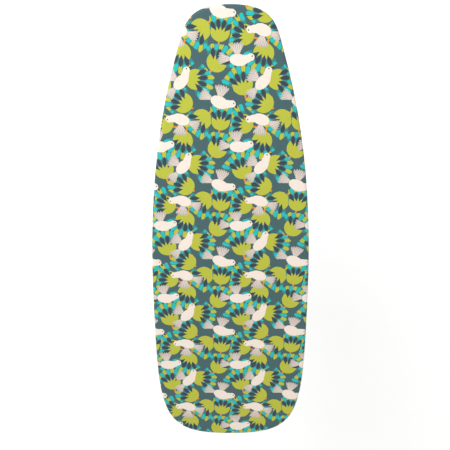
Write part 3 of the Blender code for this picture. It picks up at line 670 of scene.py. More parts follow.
def petals(distance, off, start, end, width, blunt):
    """Petals down the middle of each sector: off < width * (1 - |2v - 1| ** blunt), v running from start to end."""
    along = (distance - start) / (end - start)
    return off < (1.0 - abs(along * 2.0 - 1.0) ** blunt) * width


def ellipse(w, local, centre, across, up, lean=0.0):
    """A mask of an ellipse: |turned offset / half axes| < 1."""
    offset = w.spun(w.vector("SUBTRACT", local, (*centre, 0)), -math.radians(lean))
    return w.size(w.vector("DIVIDE", offset, (across, up, 1))) < 1.0


@cache
def flower_group():
    """A fan flower: a domed head with pointed fingers, dark and teal petals, and an outer ring of short strokes."""
    colours = {name: "colour" for name in ("Ground", "Lime", "Aqua", "Teal", "Navy", "Stalk")}
    w, given, out = new_group("print_flower", {"Local": "vector", **colours}, {"Color": "colour"})
    local = given["Local"]
    distance, angle = polar(w, local, (0, 0.0125))
    side = abs(angle)
    fingers, spread, last_finger = 5, 2.20, 0.88
    # Long teal petals, one behind each finger of the head
    _, off = sector(w, angle, fingers, spread)
    teal = (side < 1.08) & petals(distance, off, start=0.0180, end=0.0575, width=0.84, blunt=3.2)
    drawn = w.mix(teal, given["Ground"], given["Teal"])
    # Outer strokes, lime and aqua by turns, every other one set further out
    index, stroke_off = sector(w, angle, 9, 2.06)
    odd = w.math("PINGPONG", index, 1.0)
    strokes = petals(distance - odd * 0.0025, stroke_off, start=0.0400, end=0.0620, width=0.88, blunt=4.5)
    drawn = w.mix((side < 1.03) & strokes, drawn, w.mix(odd, given["Aqua"], given["Lime"]))
    # Dark petals in the notches between the fingers
    _, notch_off = sector(w, angle, fingers, spread, shift=0.0)
    dark = petals(distance, notch_off, start=0.0175, end=0.0475, width=0.76, blunt=1.9)
    drawn = w.mix((side < last_finger) & dark, drawn, given["Navy"])
    # The stalk, and over it the head: a dome cut back to pointed fingers, longer at the sides and whole outside them
    x, y = w.split(local)
    stalk = (abs(x) < 0.0025) & (y < 0.004) & (y > -0.0170)
    drawn = w.mix(stalk, drawn, given["Stalk"])
    reach = (1.0 - off) ** 0.90 * (side * side * 0.0100 + 0.0100) + 0.0165
    within = (distance < reach) | (side > last_finger)
    head = within & ellipse(w, local, (0, 0.0260), 0.0265, 0.0260) & (distance < 0.0345)
    w.feed(out["Color"], w.mix(head, drawn, given["Lime"]))
    return w.tree


def feathers(w, local, spring, heading, half, count, size):
    """A fan of feathers and the pale gaps between them: where it springs from, which way it points (degrees),
    half its spread, how many feathers and how long they are."""
    reach, angle = polar(w, local, spring)
    turn = angle - math.radians(heading)
    _, off = sector(w, turn, count, 2 * half, 0.0 if count % 2 == 0 else 0.5)
    tip = (1.0 - off**2.0) * (0.14 * size) + 0.86 * size
    fan = (reach < tip) & (abs(turn) < half)
    gaps = fan & (off > reach / size * 0.55 + 0.35) & (reach > 0.30 * size)
    return fan, gaps


@cache
def bird_group():
    """A plain small bird: round body, head and beak, and a fan of feathers each for its wing and its tail."""
    w, given, out = new_group(
        "print_bird",
        {"Local": "vector", "Cream": "colour", "Plume": "colour", "Navy": "colour"},
        {"Color": "colour", "Mask": "value"},
    )
    local = w.vector("SUBTRACT", given["Local"], (0, 0.004, 0))
    tail, tail_gaps = feathers(w, local, (-0.012, 0.018), heading=-100, half=0.42, count=5, size=0.034)
    wing, wing_gaps = feathers(w, local, (-0.003, 0.024), heading=-22, half=0.55, count=6, size=0.033)
    breast = ellipse(w, local, (0.000, 0.020), 0.0205, 0.0128, 10)
    neck = ellipse(w, local, (0.0160, 0.0265), 0.0135, 0.0088, 35)
    head = ellipse(w, local, (0.0245, 0.0330), 0.0082, 0.0078)
    beak = ellipse(w, local, (0.0345, 0.0330), 0.0048, 0.0024, -14)
    eye = ellipse(w, local, (0.0270, 0.0360), 0.0015, 0.0015)
    body = breast | neck | head
    drawn = w.mix(tail_gaps | wing_gaps, given["Plume"], given["Cream"])
    drawn = w.mix(beak, drawn, given["Navy"])
    drawn = w.mix(body, drawn, given["Cream"])
    w.feed(out["Color"], w.mix(eye, drawn, given["Navy"]))
    w.feed(out["Mask"], tail | wing | body | beak)
    return w.tree


# Each motif: across and along as shares of the repeat, turn in degrees, and size.
FLOWERS = (
    (0.14, 0.02, 15, 0.96),
    (0.60, 0.05, -100, 0.94),
    (0.39, 0.32, 160, 0.96),
    (0.85, 0.27, -35, 0.94),
    (0.14, 0.55, 75, 0.92),
    (0.62, 0.58, 130, 0.96),
    (0.39, 0.80, 60, 0.94),
    (0.88, 0.60, -8, 0.88),
)
BIRDS = (
    (0.89, 0.83, -35, 1.14),
    (0.36, 0.56, 150, 1.08),
    (0.37, 0.06, 35, 1.10),
    (0.11, 0.31, -15, 1.10),
)


def nearest_motif(w, cloth, repeat, motifs):
    """Runs the cloth's coordinates past each motif in turn and returns the nearest one's own."""
    best, distance = (9.0, 9.0, 0.0), 9.0
    for across, along, turn, size in motifs:
        found = w.use(
            place_group(),
            Cloth=cloth,
            Place=(across * repeat[0], along * repeat[1], 0),
            Turn=math.radians(turn),
            Size=size,
            Repeat=(*repeat, 1.0),
            Best=best,
            Distance=distance,
        )
        best, distance = found["Best"], found["Distance"]
    return best


@cache
def weave_group():
    """Plain weave: over and under threads as sin(u) * sin(v), with uneven threads from a stretched noise."""
    w, given, out = new_group(
        "plain_weave", {"Cloth": "vector", "Pitch": "value"}, {"Height": "value", "Slub": "value"}
    )
    turns = math.pi / w.number(given["Pitch"])
    x, y = w.split(given["Cloth"])
    over = w.math("SINE", x * turns) * w.math("SINE", y * turns)
    warp, weft = (
        w.noise(w.vector("MULTIPLY", given["Cloth"], stretch), 900.0, 1.0)
        for stretch in ((1.0, 0.06, 1.0), (0.06, 1.0, 1.0))
    )
    slub = (warp + weft) * 0.5
    w.feed(out["Height"], over * 0.5 + slub * 0.8)
    w.feed(out["Slub"], slub)
    return w.tree


def printed_cotton():
    """The cover's cotton: the print, a plain weave, and ink that sits unevenly on the threads."""
    s = bpy.context.scene.ironboard_cloth
    material, w, shader = new_material("printed_cotton")
    cloth = w.node("ShaderNodeUVMap", uv_map="cloth").outputs[0]
    repeat = (s.repeat_across, s.repeat_along)
    # Hand-drawn edges: the motifs' outlines waver a little.
    shift = (w.noise(cloth, 160.0) - 0.5) * 0.0022
    drawn = w.vector("ADD", cloth, w.join(shift, shift))

    def inks(*names):
        return {name: (*getattr(s, name.lower()), 1) for name in names}

    flower = w.use(
        flower_group(),
        Local=nearest_motif(w, drawn, repeat, FLOWERS),
        **inks("Ground", "Lime", "Aqua", "Teal", "Navy", "Stalk"),
    )
    bird = w.use(
        bird_group(), Local=nearest_motif(w, drawn, repeat, BIRDS), **inks("Cream", "Plume", "Navy")
    )
    printed = w.mix(bird["Mask"], flower["Color"], bird["Color"])
    weave = w.use(weave_group(), Cloth=cloth, Pitch=s.thread_pitch)
    ink = w.number(weave["Slub"]) * 0.30 + 0.86
    w.feed(shader["Base Color"], w.mix(1.0, printed, w.join(ink, ink, ink), blend_type="MULTIPLY"))
    shader["Roughness"].default_value = 0.82
    shader["Sheen Weight"].default_value = 0.12
    shader["Sheen Roughness"].default_value = 0.5
    shader["Specular IOR Level"].default_value = 0.25
    w.feed(shader["Normal"], w.bump(weave["Height"], 0.00012, 0.7))
    return material


# ---------------------------------------------------------------- finishes


@cache
def grain_group():
    """Fine unevenness for moulded and coated surfaces: a small noise for height and a wide one for shade."""
    w, given, out = new_group("surface_grain", {"Scale": "value"}, {"Height": "value", "Shade": "value"})
    place = w.node("ShaderNodeTexCoord").outputs["Object"]
    w.feed(out["Height"], w.noise(place, given["Scale"], 3.0))
    w.feed(out["Shade"], w.noise(place, 9.0, 3.0, 0.6))
    return w.tree


def plain_finish(name, roughness, metallic=0.0, grain=900.0, depth=0.0001, spread=0.12, shade=0.10, coat=0.0):
    """A coated, plated or moulded finish, with an uneven gloss and a slight change of colour."""
    base = getattr(bpy.context.scene.ironboard_metal, name)
    material, w, shader = new_material(name)
    grain_now = w.use(grain_group(), Scale=grain)
    lift = (w.number(grain_now["Shade"]) - 0.5) * 2.0
    dark, light = (tuple(min(c * change, 1.0) for c in base) for change in (1 - shade, 1 + shade))
    w.feed(shader["Base Color"], w.mix(lift * 0.5 + 0.5, dark, light))
    w.feed(shader["Roughness"], lift * (spread / 2) + roughness)
    shader["Metallic"].default_value = metallic
    shader["Coat Weight"].default_value = coat
    shader["Coat Roughness"].default_value = 0.25
    w.feed(shader["Normal"], w.bump(grain_now["Height"], depth, 0.6))
    return material


def felt_finish():
    """Needled felt: matted fibres, drawn as two noises, one stretched."""
    material, w, shader = new_material("pad_felt")
    felt = tuple(bpy.context.scene.ironboard_cloth.felt)
    place = w.node("ShaderNodeTexCoord").outputs["Object"]
    fibres = w.noise(w.vector("MULTIPLY", place, (1.0, 0.35, 1.0)), 700.0, 4.0, 0.7)
    mixed = (fibres + w.noise(place, 90.0, 3.0)) * 0.5
    w.feed(shader["Base Color"], w.mix(mixed, tuple(c * 0.72 for c in felt), felt))
    shader["Roughness"].default_value = 0.95
    w.feed(shader["Normal"], w.bump(mixed, 0.0012, 0.8))
    return material


@cache
def finish_of(slot):
    """A slot's material, made when the first piece asks for it."""
    if slot == "printed_cotton":
        return printed_cotton()
    if slot == "pad_felt":
        return felt_finish()
    plain = {
        "frame_paint": dict(roughness=0.42, grain=1400.0, depth=0.00008, coat=0.15),
        "leg_paint": dict(roughness=0.36, metallic=0.55, grain=1600.0, depth=0.00006, shade=0.06, coat=0.3),
        "zinc_steel": dict(roughness=0.32, metallic=1.0, grain=500.0, depth=0.00003, spread=0.2),
        "white_nylon": dict(roughness=0.45, grain=700.0, depth=0.00005, shade=0.04),
        "dark_plastic": dict(roughness=0.48, grain=1200.0, depth=0.00012),
        "elastic_cord": dict(roughness=0.85, grain=1100.0, depth=0.0005),
        "foot_rubber": dict(roughness=0.72, grain=800.0, depth=0.00015, shade=0.2),
    }
    return plain_finish(slot, **plain[slot])


# ---------------------------------------------------------------- the cover


def hem_inset():
    """The elastic's distance in from the cover's edge, and its radius."""
    low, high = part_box("hem_elastic")
    radius = (high.z - low.z) / 2
    return NOSE_END - high.y + radius, radius


def gathers(along, depth_share):
    """How far the hem's gathers stand out, 0 to 1.

    Folds about 13 mm apart come from a sine whose phase drifts with two longer sines. They grow towards the elastic.
    """
    drift = 1.9 * np.sin(TAU * along / 0.137 + 0.4) + 1.3 * np.sin(TAU * along / 0.061 + 2.1)
    fold = 0.5 + 0.5 * np.sin(TAU * along / 0.0135 + drift)
    uneven = 0.72 + 0.28 * np.sin(TAU * along / 0.083 + 1.1) * np.sin(TAU * along / 0.211)
    return fold**1.3 * uneven * depth_share


class IRONBOARD_OT_cover(bpy.types.Operator):
    """Makes the printed cotton cover, from the ironing surface down and in under the rim to its gathered hem"""

    bl_idname = "ironboard.cover"
    bl_label = "Cover"

    def execute(self, context):
        s = context.scene.ironboard_cloth
        edge = edge_of_cover(330)
        out = outward_of(edge)
        along = np.concatenate([[0], np.cumsum(np.linalg.norm(np.diff(edge, axis=0), axis=1))])
        inset, _ = hem_inset()
        rings, cloths = [], []
        # The flat top: straight lines from a spine down the middle out to where the edge begins to round.
        # point = spine + (rim - spine) * t, with the spine's ends set in from the nose and the heel.
        rim = edge - out * (s.edge_round + 0.002)
        spine = spine_of(rim)
        for t in np.linspace(0, 1, 30) ** 0.8:
            flat = spine + (rim - spine) * t
            rings.append(level(flat, COVER_HIGH.z))
            cloths.append(flat)
        # Over the pad's edge: a quarter circle, with the cloth's length counted along it.
        radius = s.edge_round
        for turn in np.linspace(0, math.pi / 2, 8)[1:]:
            flat = edge - out * (radius * (1 - math.sin(turn)))
            rings.append(level(flat, COVER_HIGH.z - radius * (1 - math.cos(turn))))
            cloths.append(edge - out * (radius * (1 - turn)))
        # Down the side, drawn in a little between the pad and the rim.
        length_so_far = radius * (math.pi / 2 - 1)
        turn_under, drawn_in = 0.0015, 0.0004
        top, bottom = COVER_HIGH.z - radius, COVER_LOW.z + turn_under
        for t in np.linspace(0, 1, 8)[1:]:
            flat = edge - out * (drawn_in * math.sin(math.pi * t))
            rings.append(level(flat, top + (bottom - top) * t))
            cloths.append(edge + out * (length_so_far + (top - bottom) * t))
        length_so_far += top - bottom
        # In under the rim, gathered more and more towards the elastic.
        for t in np.linspace(0, 1, 16)[1:]:
            reach = turn_under + (inset - turn_under) * t
            rings.append(level(edge - out * reach, COVER_LOW.z - s.gather_depth * gathers(along, t**0.9)))
            cloths.append(edge + out * (length_so_far + reach))
        points, cloth = np.array(rings), np.array(cloths)
        # The whole top lies not quite even over the felt, and pulls in faint ridges at its edge.
        x, y = points[..., 0], points[..., 1]
        unevenness, full_height = 0.00035, 0.02
        hold = np.clip((points[..., 2] - COVER_LOW.z) / full_height, 0, 1)
        points[..., 2] -= unevenness * hold * (1 + waves(x, y, 3, 9, 0.06, 0.22))
        cover = put("printed_cover", points, grid_faces(len(rings), len(edge))[:, ::-1], cloth)
        close_up(cover, sharp=None, outward=False)
        shell = cover.modifiers.new("cloth", "SOLIDIFY")
        shell.thickness = s.cloth_thickness
        shell.offset = -1
        finish_piece(cover, "board", "printed_cotton", "cover")
        areas = np.zeros(len(cover.data.polygons))
        cover.data.polygons.foreach_get("area", areas)
        wrap = 2 * (length_so_far + inset)
        flat_size = (COVER_HIGH.x - COVER_LOW.x + wrap, NOSE_END - HEEL_END + wrap)
        min(float(areas.sum()), 0.99 * flat_size[0] * flat_size[1])
        return {"FINISHED"}


class IRONBOARD_OT_pad(bpy.types.Operator):
    """Makes the felt pad between the cover and the steel panel"""

    bl_idname = "ironboard.pad"
    bl_label = "Pad"

    def execute(self, context):
        edge = edge_of_cover(150)
        out = outward_of(edge)
        inset = COVER_HIGH.x - PAD_HIGH.x
        # Its edge is rounded above and nearly square below, where the felt is cut.
        round_edge, lean, crown, cut = 0.0045, 0.0015, 0.0004, 0.0006
        rim = edge - out * (inset + round_edge + 0.006)
        spine = spine_of(edge)
        flats = [spine + (rim - spine) * t for t in np.linspace(0, 1, 12)]
        rings = [level(flat, PAD_HIGH.z) for flat in flats]
        for turn in np.linspace(0, math.pi / 2, 6):
            reach = inset + round_edge * (1 - math.sin(turn)) + lean * (1 - turn / (math.pi / 2))
            rings.append(level(edge - out * reach, PAD_HIGH.z - crown - round_edge * (1 - math.cos(turn))))
        rings.append(level(edge - out * inset, PAD_LOW.z + cut))
        rings.append(level(edge - out * (inset + cut), PAD_LOW.z))
        rings += [level(flat, PAD_LOW.z) for flat in flats[::-1]]
        pad = close_up(put("felt_layer", np.array(rings), grid_faces(len(rings), len(edge))), sharp=None)
        finish_piece(pad, "board", "pad_felt", "felt_pad")
        return {"FINISHED"}


class IRONBOARD_OT_hem(bpy.types.Operator):
    """Makes the elastic cord that draws the cover's hem in under the rim"""

    bl_idname = "ironboard.hem"
    bl_label = "Hem"

    def execute(self, context):
        inset, radius = hem_inset()
        path = level(inset_edge(420, inset), middle_of("hem_elastic").z)
        # The cord runs in its casing of gathered cloth, so it swells and narrows with the folds.
        swell = 0.93 + 0.07 * np.sin(np.arange(len(path)) * 1.9)
        cord = swept("hem_cord", path, (radius - 0.0002) * swell, closed=True)
        finish_piece(cord, "board", "elastic_cord", "hem_elastic")
        return {"FINISHED"}


class IRONBOARD_OT_panel(bpy.types.Operator):
    """Makes the pierced steel panel that carries the pad and lets the steam through"""

    bl_idname = "ironboard.panel"
    bl_label = "Steam panel"

    def execute(self, context):
        s = context.scene.ironboard_metal
        inset = COVER_HIGH.x - PANEL_HIGH.x
        edge = inset_edge(110, inset)
        sides, side_border, end_border = 8, 0.020, 0.034
        step = s.hole_pitch * math.sin(math.pi / 3)

        def lattice(row, column):
            """Places at x = pitch * (column + (row % 2) / 2), y = pitch * row * sin(60)."""
            return np.column_stack([s.hole_pitch * (column + (row % 2) / 2), row * step])

        def open_at(places):
            """Where the panel is wide and long enough for a hole."""
            x, y = np.abs(places[:, 0]), np.abs(places[:, 1])
            return (x < half_width_at(places[:, 1], inset + side_border)) & (y < NOSE_END - end_border)

        def loop(count):
            """The ends of a closed loop's edges."""
            return np.column_stack([np.arange(count), (np.arange(count) + 1) % count])

        rows = int((NOSE_END - 0.03) / step)
        holes = lattice(*np.mgrid[-rows : rows + 1, -20:21].reshape(2, -1))
        holes = holes[open_at(holes)]
        angle = around(sides)
        rim = s.hole_pitch * 0.27 * np.column_stack([np.cos(angle), np.sin(angle)])
        points = np.vstack([edge, (holes[:, None] + rim).reshape(-1, 2)])
        count = len(edge)
        inner = (count + sides * np.arange(len(holes))[:, None, None] + loop(sides)).reshape(-1, 2)
        edges = np.vstack([loop(count), inner]).tolist()
        joined = delaunay_2d_cdt([Vector(p) for p in points.tolist()], edges, [list(range(count))], 1, 1e-7)
        flat = np.array([tuple(p) for p in joined[0]])
        faces = np.array(joined[2])
        middles = flat[faces].mean(1)
        # A triangle is in a hole if its middle is near an open place of the lattice, in its own row or the next ones.
        in_hole = np.zeros(len(faces), bool)
        for shift in (-1, 0, 1):
            row = np.rint(middles[:, 1] / step).astype(int) + shift
            place = lattice(row, np.rint(middles[:, 0] / s.hole_pitch - (row % 2) / 2))
            in_hole |= open_at(place) & (np.linalg.norm(middles - place, axis=1) < s.hole_pitch * 0.25)
        panel = put("pierced_panel", level(flat, PANEL_LOW.z), faces[~in_hole], smooth=False)
        if panel.data.polygons[0].normal.z > 0:
            panel.data.flip_normals()
        sheet = panel.modifiers.new("sheet", "SOLIDIFY")
        sheet.thickness = PANEL_HIGH.z - PANEL_LOW.z
        sheet.offset = -1
        finish_piece(panel, "board", "frame_paint", "steam_panel")
        return {"FINISHED"}


class IRONBOARD_OT_top_steel(bpy.types.Operator):
    """Makes the rolled rim round the top and the ribbed braces across it"""

    bl_idname = "ironboard.top_steel"
    bl_label = "Rim and braces"

    def execute(self, context):
        edge = edge_of_cover(260)
        out = outward_of(edge)
        near = COVER_HIGH.x - RIM_HIGH.x
        top, bottom, flange, sheet = RIM_HIGH.z, RIM_LOW.z, 0.0120, 0.0012
        far = near + flange
        # Outer face of the channel, then its inner face, as (inset, height) with rounded bends and lips.
        outer = [(far, top), (near, top), (near, bottom), (far, bottom)]
        inner = [(far, bottom + sheet), (near + sheet, bottom + sheet), (near + sheet, top - sheet), (far, top - sheet)]
        section = np.vstack([rounded(outer, 0.0026, 7), rounded(inner, 0.0016, 7)])
        rings = np.array([level(edge - out * inset, height) for inset, height in section])
        rim = close_up(put("rolled_rim", rings, grid_faces(len(rings), len(edge), along=True)), SOFT_SHARP)
        finish_piece(rim, "board", "frame_paint", "rim_frame")
        for place in ("heel", "rear", "middle", "front", "nose"):
            node = "cross_brace_" + place
            low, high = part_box(node)
            y = (low.y + high.y) / 2
            half = [(high.y, low.z), (high.y, high.z), (y + 0.0075, high.z), (y + 0.0050, high.z - 0.003)]
            profile = [(low.x, *c) for c in half] + [(low.x, 2 * y - c[0], c[1]) for c in half[::-1]]
            brace = folded("ribbed_brace_" + place, profile, (high.x - low.x, 0, 0), sheet)
            finish_piece(brace, "board", "frame_paint", node)
        return {"FINISHED"}


class IRONBOARD_OT_fittings(bpy.types.Operator):
    """Makes the pivot bracket, the slide rails and the brake's spring"""

    bl_idname = "ironboard.fittings"
    bl_label = "Fittings under the top"

    def execute(self, context):
        for side in SIDES:
            node = "slide_rail_" + side
            low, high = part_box(node)
            inner, back = sorted((low.x, high.x), key=abs)
            corners = [(x, low.y, z) for x, z in ((inner, high.z), (back, high.z), (back, low.z), (inner, low.z))]
            rail = folded("folded_rail_" + side, corners, (0, high.y - low.y, 0), 0.0015)
            finish_piece(rail, "board", "zinc_steel", node)
        low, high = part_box("pivot_bracket")
        corners = [(low.x, low.y, low.z), (low.x, low.y, high.z), (high.x, low.y, high.z), (high.x, low.y, low.z)]
        bracket = folded("folded_bracket", corners, (0, high.y - low.y, 0), 0.002, 0.003)
        finish_piece(bracket, "board", "zinc_steel", "pivot_bracket")
        # The spring is a helix about the height rod whose end turns lie flat.
        low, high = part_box("brake_spring")
        middle, wire = (low + high) / 2, 0.0006
        turns, radius = 5.0, (high.x - low.x) / 2 - wire
        t = np.linspace(0, 1, 260)
        climb = np.clip((t * turns - 0.75) / (turns - 1.5), 0, 1)
        path = np.column_stack(
            [
                radius * np.sin(TAU * turns * t),
                low.y + wire + (high.y - low.y - 2 * wire) * climb,
                middle.z + radius * np.cos(TAU * turns * t),
            ]
        )
        spring = swept("coil_spring", path, wire, sides=10)
        finish_piece(spring, "board", "zinc_steel", "brake_spring")
        return {"FINISHED"}


class IRONBOARD_OT_legs(bpy.types.Operator):
    """Makes the leg tubes, their cross tubes, the foot bars and the weld beads that join them"""

    bl_idname = "ironboard.legs"
    bl_label = "Legs"

    def execute(self, context):
        crossing = np.array(middle_of("crossing_pin"))
        for label, foot_node, body in (
            ("outer", "front_foot_bar", "outer_leg"),
            ("inner", "rear_foot_bar", "inner_leg"),
        ):
            foot = np.array(middle_of(foot_node))
            up = unit(crossing - foot)
            low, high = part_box(f"{label}_tube_right")
            offset, radius = (low.x + high.x) / 2, (high.x - low.x) / 2
            size = (high.z - radius * abs(up[1]) - foot[2]) / up[2]
            *ends, bar_radius = across_of(foot_node)
            brace, brace_radius = np.array(middle_of(f"{label}_leg_brace")), 0.007
            for side, sign in SIDES.items():
                shift = np.array([sign * offset, 0, 0])
                leg = open_tube(f"{label}_leg_{side}", foot + shift, foot + shift + up * size, radius)
                finish_piece(leg, body, "leg_paint", f"{label}_tube_{side}")
                bead = weld_bead(f"{label}_foot_weld_{side}", foot + shift, up, (1, 0, 0), radius, bar_radius)
                finish_piece(bead, body, "leg_paint")
                bead = weld_bead(
                    f"{label}_brace_weld_{side}", brace + shift, (-sign, 0, 0), up, brace_radius, radius, 0.0012
                )
                finish_piece(bead, body, "leg_paint")
            reach = np.array([offset - radius * 0.7, 0, 0])
            cross = rod(f"{label}_cross_tube", brace - reach, brace + reach, brace_radius)
            finish_piece(cross, body, "leg_paint", f"{label}_leg_brace")
            bar = rod(f"{label}_foot_tube", *ends, bar_radius, 0.001, 56)
            finish_piece(bar, body, "leg_paint", foot_node)
        return {"FINISHED"}


class IRONBOARD_OT_feet(bpy.types.Operator):
    """Makes the ribbed rubber caps on the foot bars, each with a flat sole"""

    bl_idname = "ironboard.feet"
    bl_label = "Foot caps"

    def execute(self, context):
        for label, body in (("front", "outer_leg"), ("rear", "inner_leg")):
            bar = middle_of(f"{label}_foot_bar")
            for side, sign in SIDES.items():
                node = f"{label}_foot_cap_{side}"
                low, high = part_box(node)
                inner, outer = sorted((low.x, high.x), key=abs)
                radius, size = (high.y - low.y) / 2, abs(outer - inner)
                s = np.linspace(0, 1, 90)
                end = 0.16
                dome = np.sqrt(np.clip(1 - np.clip((s - 1 + end) / end, 0, 1) ** 2.4, 0, 1))
                groove = np.clip(np.sin(TAU * 6 * (s - 0.10) / 0.66) ** 8, 0, 1) * ((s > 0.10) & (s < 0.76))
                mouth = np.clip(s / 0.03, 0, 1) ** 0.5
                reach = radius * dome * (0.93 + 0.07 * mouth) - 0.0007 * groove
                profile = np.vstack([[(0, 0)], np.column_stack([s * size, np.maximum(reach, 0)])])
                cap = turned(f"{label}_rubber_cap_{side}", (inner, bar.y, bar.z), (sign, 0, 0), profile, 64)
                co = np.empty(len(cap.data.vertices) * 3)
                cap.data.vertices.foreach_get("co", co)
                co = co.reshape(-1, 3)
                co[:, 2] = np.maximum(co[:, 2], low.z)
                cap.data.vertices.foreach_set("co", co.ravel())
                cap.data.update()
                finish_piece(cap, body, "foot_rubber", node)
        return {"FINISHED"}


class IRONBOARD_OT_pins(bpy.types.Operator):
    """Makes the pins that the legs turn on, with their nuts, washers, spacers and sleeve"""

    bl_idname = "ironboard.pins"
    bl_label = "Pins and nuts"

    def execute(self, context):
        for node, body in (("pivot_pin", "board"), ("crossing_pin", "outer_leg"), ("slide_bar", "inner_leg")):
            pin = rod("round_" + node, *across_of(node))
            finish_piece(pin, body, "zinc_steel", node)
        for place, body in (("pivot", "board"), ("crossing", "outer_leg")):
            pin = middle_of(place + "_pin")
            for side, sign in SIDES.items():
                node = f"{place}_nut_{side}"
                low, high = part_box(node)
                inner = min((low.x, high.x), key=abs)
                corner = (high.z - low.z) / 2 + 0.0003
                nut = hex_nut("hex_" + node, (inner, pin.y, pin.z), (sign, 0, 0), high.x - low.x, corner)
                finish_piece(nut, body, "zinc_steel", node)
        rings = [("crossing_sleeve", "outer_leg", "zinc_steel")]
        for side in SIDES:
            rings.append(("crossing_washer_" + side, "outer_leg", "white_nylon"))
            rings.append(("pivot_spacer_" + side, "board", "white_nylon"))
        for node, body, slot in rings:
            finish_piece(ring("turned_" + node, *across_of(node), bore=0.0042), body, slot, node)
        return {"FINISHED"}


class IRONBOARD_OT_carriage(bpy.types.Operator):
    """Makes the height rod and its end stop"""

    bl_idname = "ironboard.carriage"
    bl_label = "Height rod"

    def execute(self, context):
        low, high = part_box("height_rod")
        x, z = (low.x + high.x) / 2, (low.z + high.z) / 2
        bar = rod("round_height_rod", (x, low.y, z), (x, high.y, z), (high.z - low.z) / 2)
        finish_piece(bar, "carriage", "zinc_steel", "height_rod")
        low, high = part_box("rod_stop")
        stop = ring("moulded_rod_stop", (x, low.y, z), (x, high.y, z), (high.x - low.x) / 2, 0.0051, 0.0016)
        finish_piece(stop, "carriage", "dark_plastic", "rod_stop")
        return {"FINISHED"}


class IRONBOARD_OT_lever(bpy.types.Operator):
    """Makes the bent release lever and its ribbed grip"""

    bl_idname = "ironboard.lever"
    bl_label = "Release lever"

    def execute(self, context):
        grip_low, grip_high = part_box("lever_grip")
        shaft_low, shaft_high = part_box("lever_shaft")
        radius = 0.003
        y, z = shaft_high.y - radius, shaft_high.z - radius
        x = shaft_high.x - radius
        corners = [(shaft_low.x, y, z), (x, y, z), (x, shaft_low.y + radius * 0.2, shaft_low.z + radius)]
        shaft = swept("bent_lever_shaft", rounded(corners, 0.014, 14), radius, sides=24)
        finish_piece(shaft, "release_lever", "zinc_steel", "lever_shaft")
        # The grip is a flat paddle with finger ribs, waisted at its neck.
        slope = math.atan2(0.020, 0.108)
        ahead = np.array([0, math.cos(slope), math.sin(slope)])
        size = (grip_high.y - grip_low.y - 0.0105 * math.sin(slope)) / math.cos(slope)
        start = np.array([x, grip_low.y, (grip_low.z + grip_high.z) / 2]) - [0, 0, size / 2 * math.sin(slope)]
        s = np.linspace(0, 1, 110)
        ends = np.sqrt(np.clip(1 - np.clip(np.abs(2 * s - 1) * 6 - 5, 0, 1) ** 2, 0, 1))
        width = (0.0150 - 0.0045 * np.clip((s - 0.62) / 0.30, 0, 1) ** 1.5) * (0.25 + 0.75 * ends)
        ribs = np.where((s > 0.12) & (s < 0.60), np.cos(TAU * (s - 0.12) / 0.06) * 0.5 - 0.5, 0)
        thick = (0.0052 + 0.00055 * ribs) * (0.30 + 0.70 * ends)
        stations = np.column_stack([s * size, width, thick])
        stations = np.vstack([[0, 0, 0], stations, [size, 0, 0]])
        grip = lofted("ribbed_grip", start, ahead, (1, 0, 0), stations, 3.6, 72)
        finish_piece(grip, "release_lever", "dark_plastic", "lever_grip")
        return {"FINISHED"}


class IRONBOARD_OT_kept(bpy.types.Operator):
    """Gives the frame's own moulded and folded pieces their finishes"""

    bl_idname = "ironboard.kept"
    bl_label = "Frame's own pieces"

    def execute(self, context):
        for node, finish in (
            ("brake_box", "zinc_steel"),
            ("brake_block", "zinc_steel"),
            ("shaft_bearing_left", "zinc_steel"),
            ("shaft_bearing_right", "zinc_steel"),
            ("glide_left", "white_nylon"),
            ("glide_right", "white_nylon"),
            ("rod_clevis", "dark_plastic"),
        ):
            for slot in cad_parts[node].material_slots:
                slot.material = finish_of(finish)
        return {"FINISHED"}


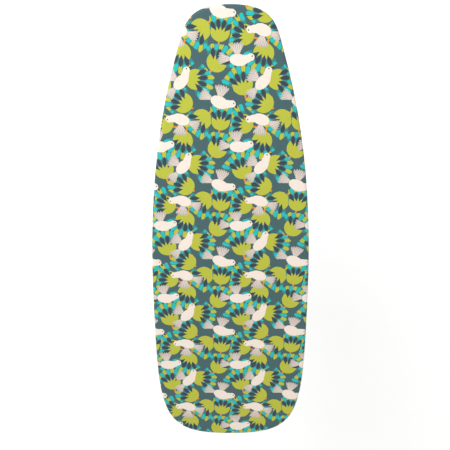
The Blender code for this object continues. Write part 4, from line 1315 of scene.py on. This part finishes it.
class IRONBOARD_OT_stage(bpy.types.Operator):
    """Sets the floor, the soft studio lights and the camera"""

    bl_idname = "ironboard.stage"
    bl_label = "Stage"

    def execute(self, context):
        s = context.scene.ironboard_stage
        scene = context.scene
        floor = put("studio_floor", [(-9, -9, 0), (9, -9, 0), (9, 9, 0), (-9, 9, 0)], [(0, 1, 2, 3)])
        material, _, shader = new_material("studio_floor")
        shader["Base Color"].default_value = (*s.floor, 1)
        shader["Roughness"].default_value = 0.9
        floor.data.materials.append(material)
        world = bpy.data.worlds.new("studio")
        world.use_nodes = True
        world.node_tree.nodes["Background"].inputs["Color"].default_value = (1, 1, 1, 1)
        world.node_tree.nodes["Background"].inputs["Strength"].default_value = s.sky
        scene.world = world
        for name, place, aim, size, power, tint in (
            ("key_light", (-1.1, 1.5, 2.2), (0, 0.35, 0.9), 1.4, s.key_power, (0.93, 0.98, 1.0)),
            ("fill_light", (1.9, -0.3, 2.4), (0, -0.1, 0.9), 1.6, s.fill_power, (1, 0.86, 0.68)),
        ):
            lamp = bpy.data.lights.new(name, "AREA")
            lamp.size = size
            lamp.energy = power
            lamp.color = tint
            light = bpy.data.objects.new(name, lamp)
            scene.collection.objects.link(light)
            light.location = place
            light.rotation_euler = (Vector(aim) - Vector(place)).to_track_quat("-Z", "Y").to_euler()
        # The camera looks down on the top from over the nose, tilted back from straight down.
        tilt, distance, aim_from_nose = math.radians(17), 1.386, 0.533
        aim = Vector((0, NOSE_END - aim_from_nose, COVER_HIGH.z))
        camera = bpy.data.objects.new("camera", bpy.data.cameras.new("camera"))
        scene.collection.objects.link(camera)
        camera.location = aim + distance * Vector((0, math.sin(tilt), math.cos(tilt)))
        camera.rotation_euler = (-tilt, 0, 0)
        camera.data.lens = 41.6
        camera.data.sensor_width = 36.0
        camera.data.shift_x = -0.0122
        camera.data.shift_y = -0.0133
        scene.camera = camera
        scene.view_settings.view_transform = "Standard"
        return {"FINISHED"}


class IRONBOARD_PT_sidebar(bpy.types.Panel):
    """Lists the pieces of the ironing board"""

    bl_idname = "IRONBOARD_PT_sidebar"
    bl_label = "Ironing Board"
    bl_space_type = "VIEW_3D"
    bl_region_type = "UI"
    bl_category = "Ironing Board"

    def draw(self, context):
        for operator in OPERATORS:
            self.layout.operator(operator.bl_idname)


SETTINGS = {
    "ironboard_cloth": IronboardClothSettings,
    "ironboard_metal": IronboardMetalSettings,
    "ironboard_stage": IronboardStageSettings,
}
OPERATORS = (
    IRONBOARD_OT_cover,
    IRONBOARD_OT_hem,
    IRONBOARD_OT_pad,
    IRONBOARD_OT_panel,
    IRONBOARD_OT_top_steel,
    IRONBOARD_OT_fittings,
    IRONBOARD_OT_legs,
    IRONBOARD_OT_feet,
    IRONBOARD_OT_pins,
    IRONBOARD_OT_carriage,
    IRONBOARD_OT_lever,
    IRONBOARD_OT_kept,
    IRONBOARD_OT_stage,
)
CLASSES = (*SETTINGS.values(), *OPERATORS, IRONBOARD_PT_sidebar)


def register():
    for cls in CLASSES:
        bpy.utils.register_class(cls)
    for name, cls in SETTINGS.items():
        setattr(bpy.types.Scene, name, PointerProperty(type=cls))


def unregister():
    for name in SETTINGS:
        delattr(bpy.types.Scene, name)
    for cls in reversed(CLASSES):
        bpy.utils.unregister_class(cls)


def corners(box):
    return [[float(v) for v in corner] for corner in box]


def main():
    register()
    for operator in OPERATORS:
        group, name = operator.bl_idname.split(".")
        getattr(getattr(bpy.ops, group), name)()


if __name__ == "__main__":
    main()
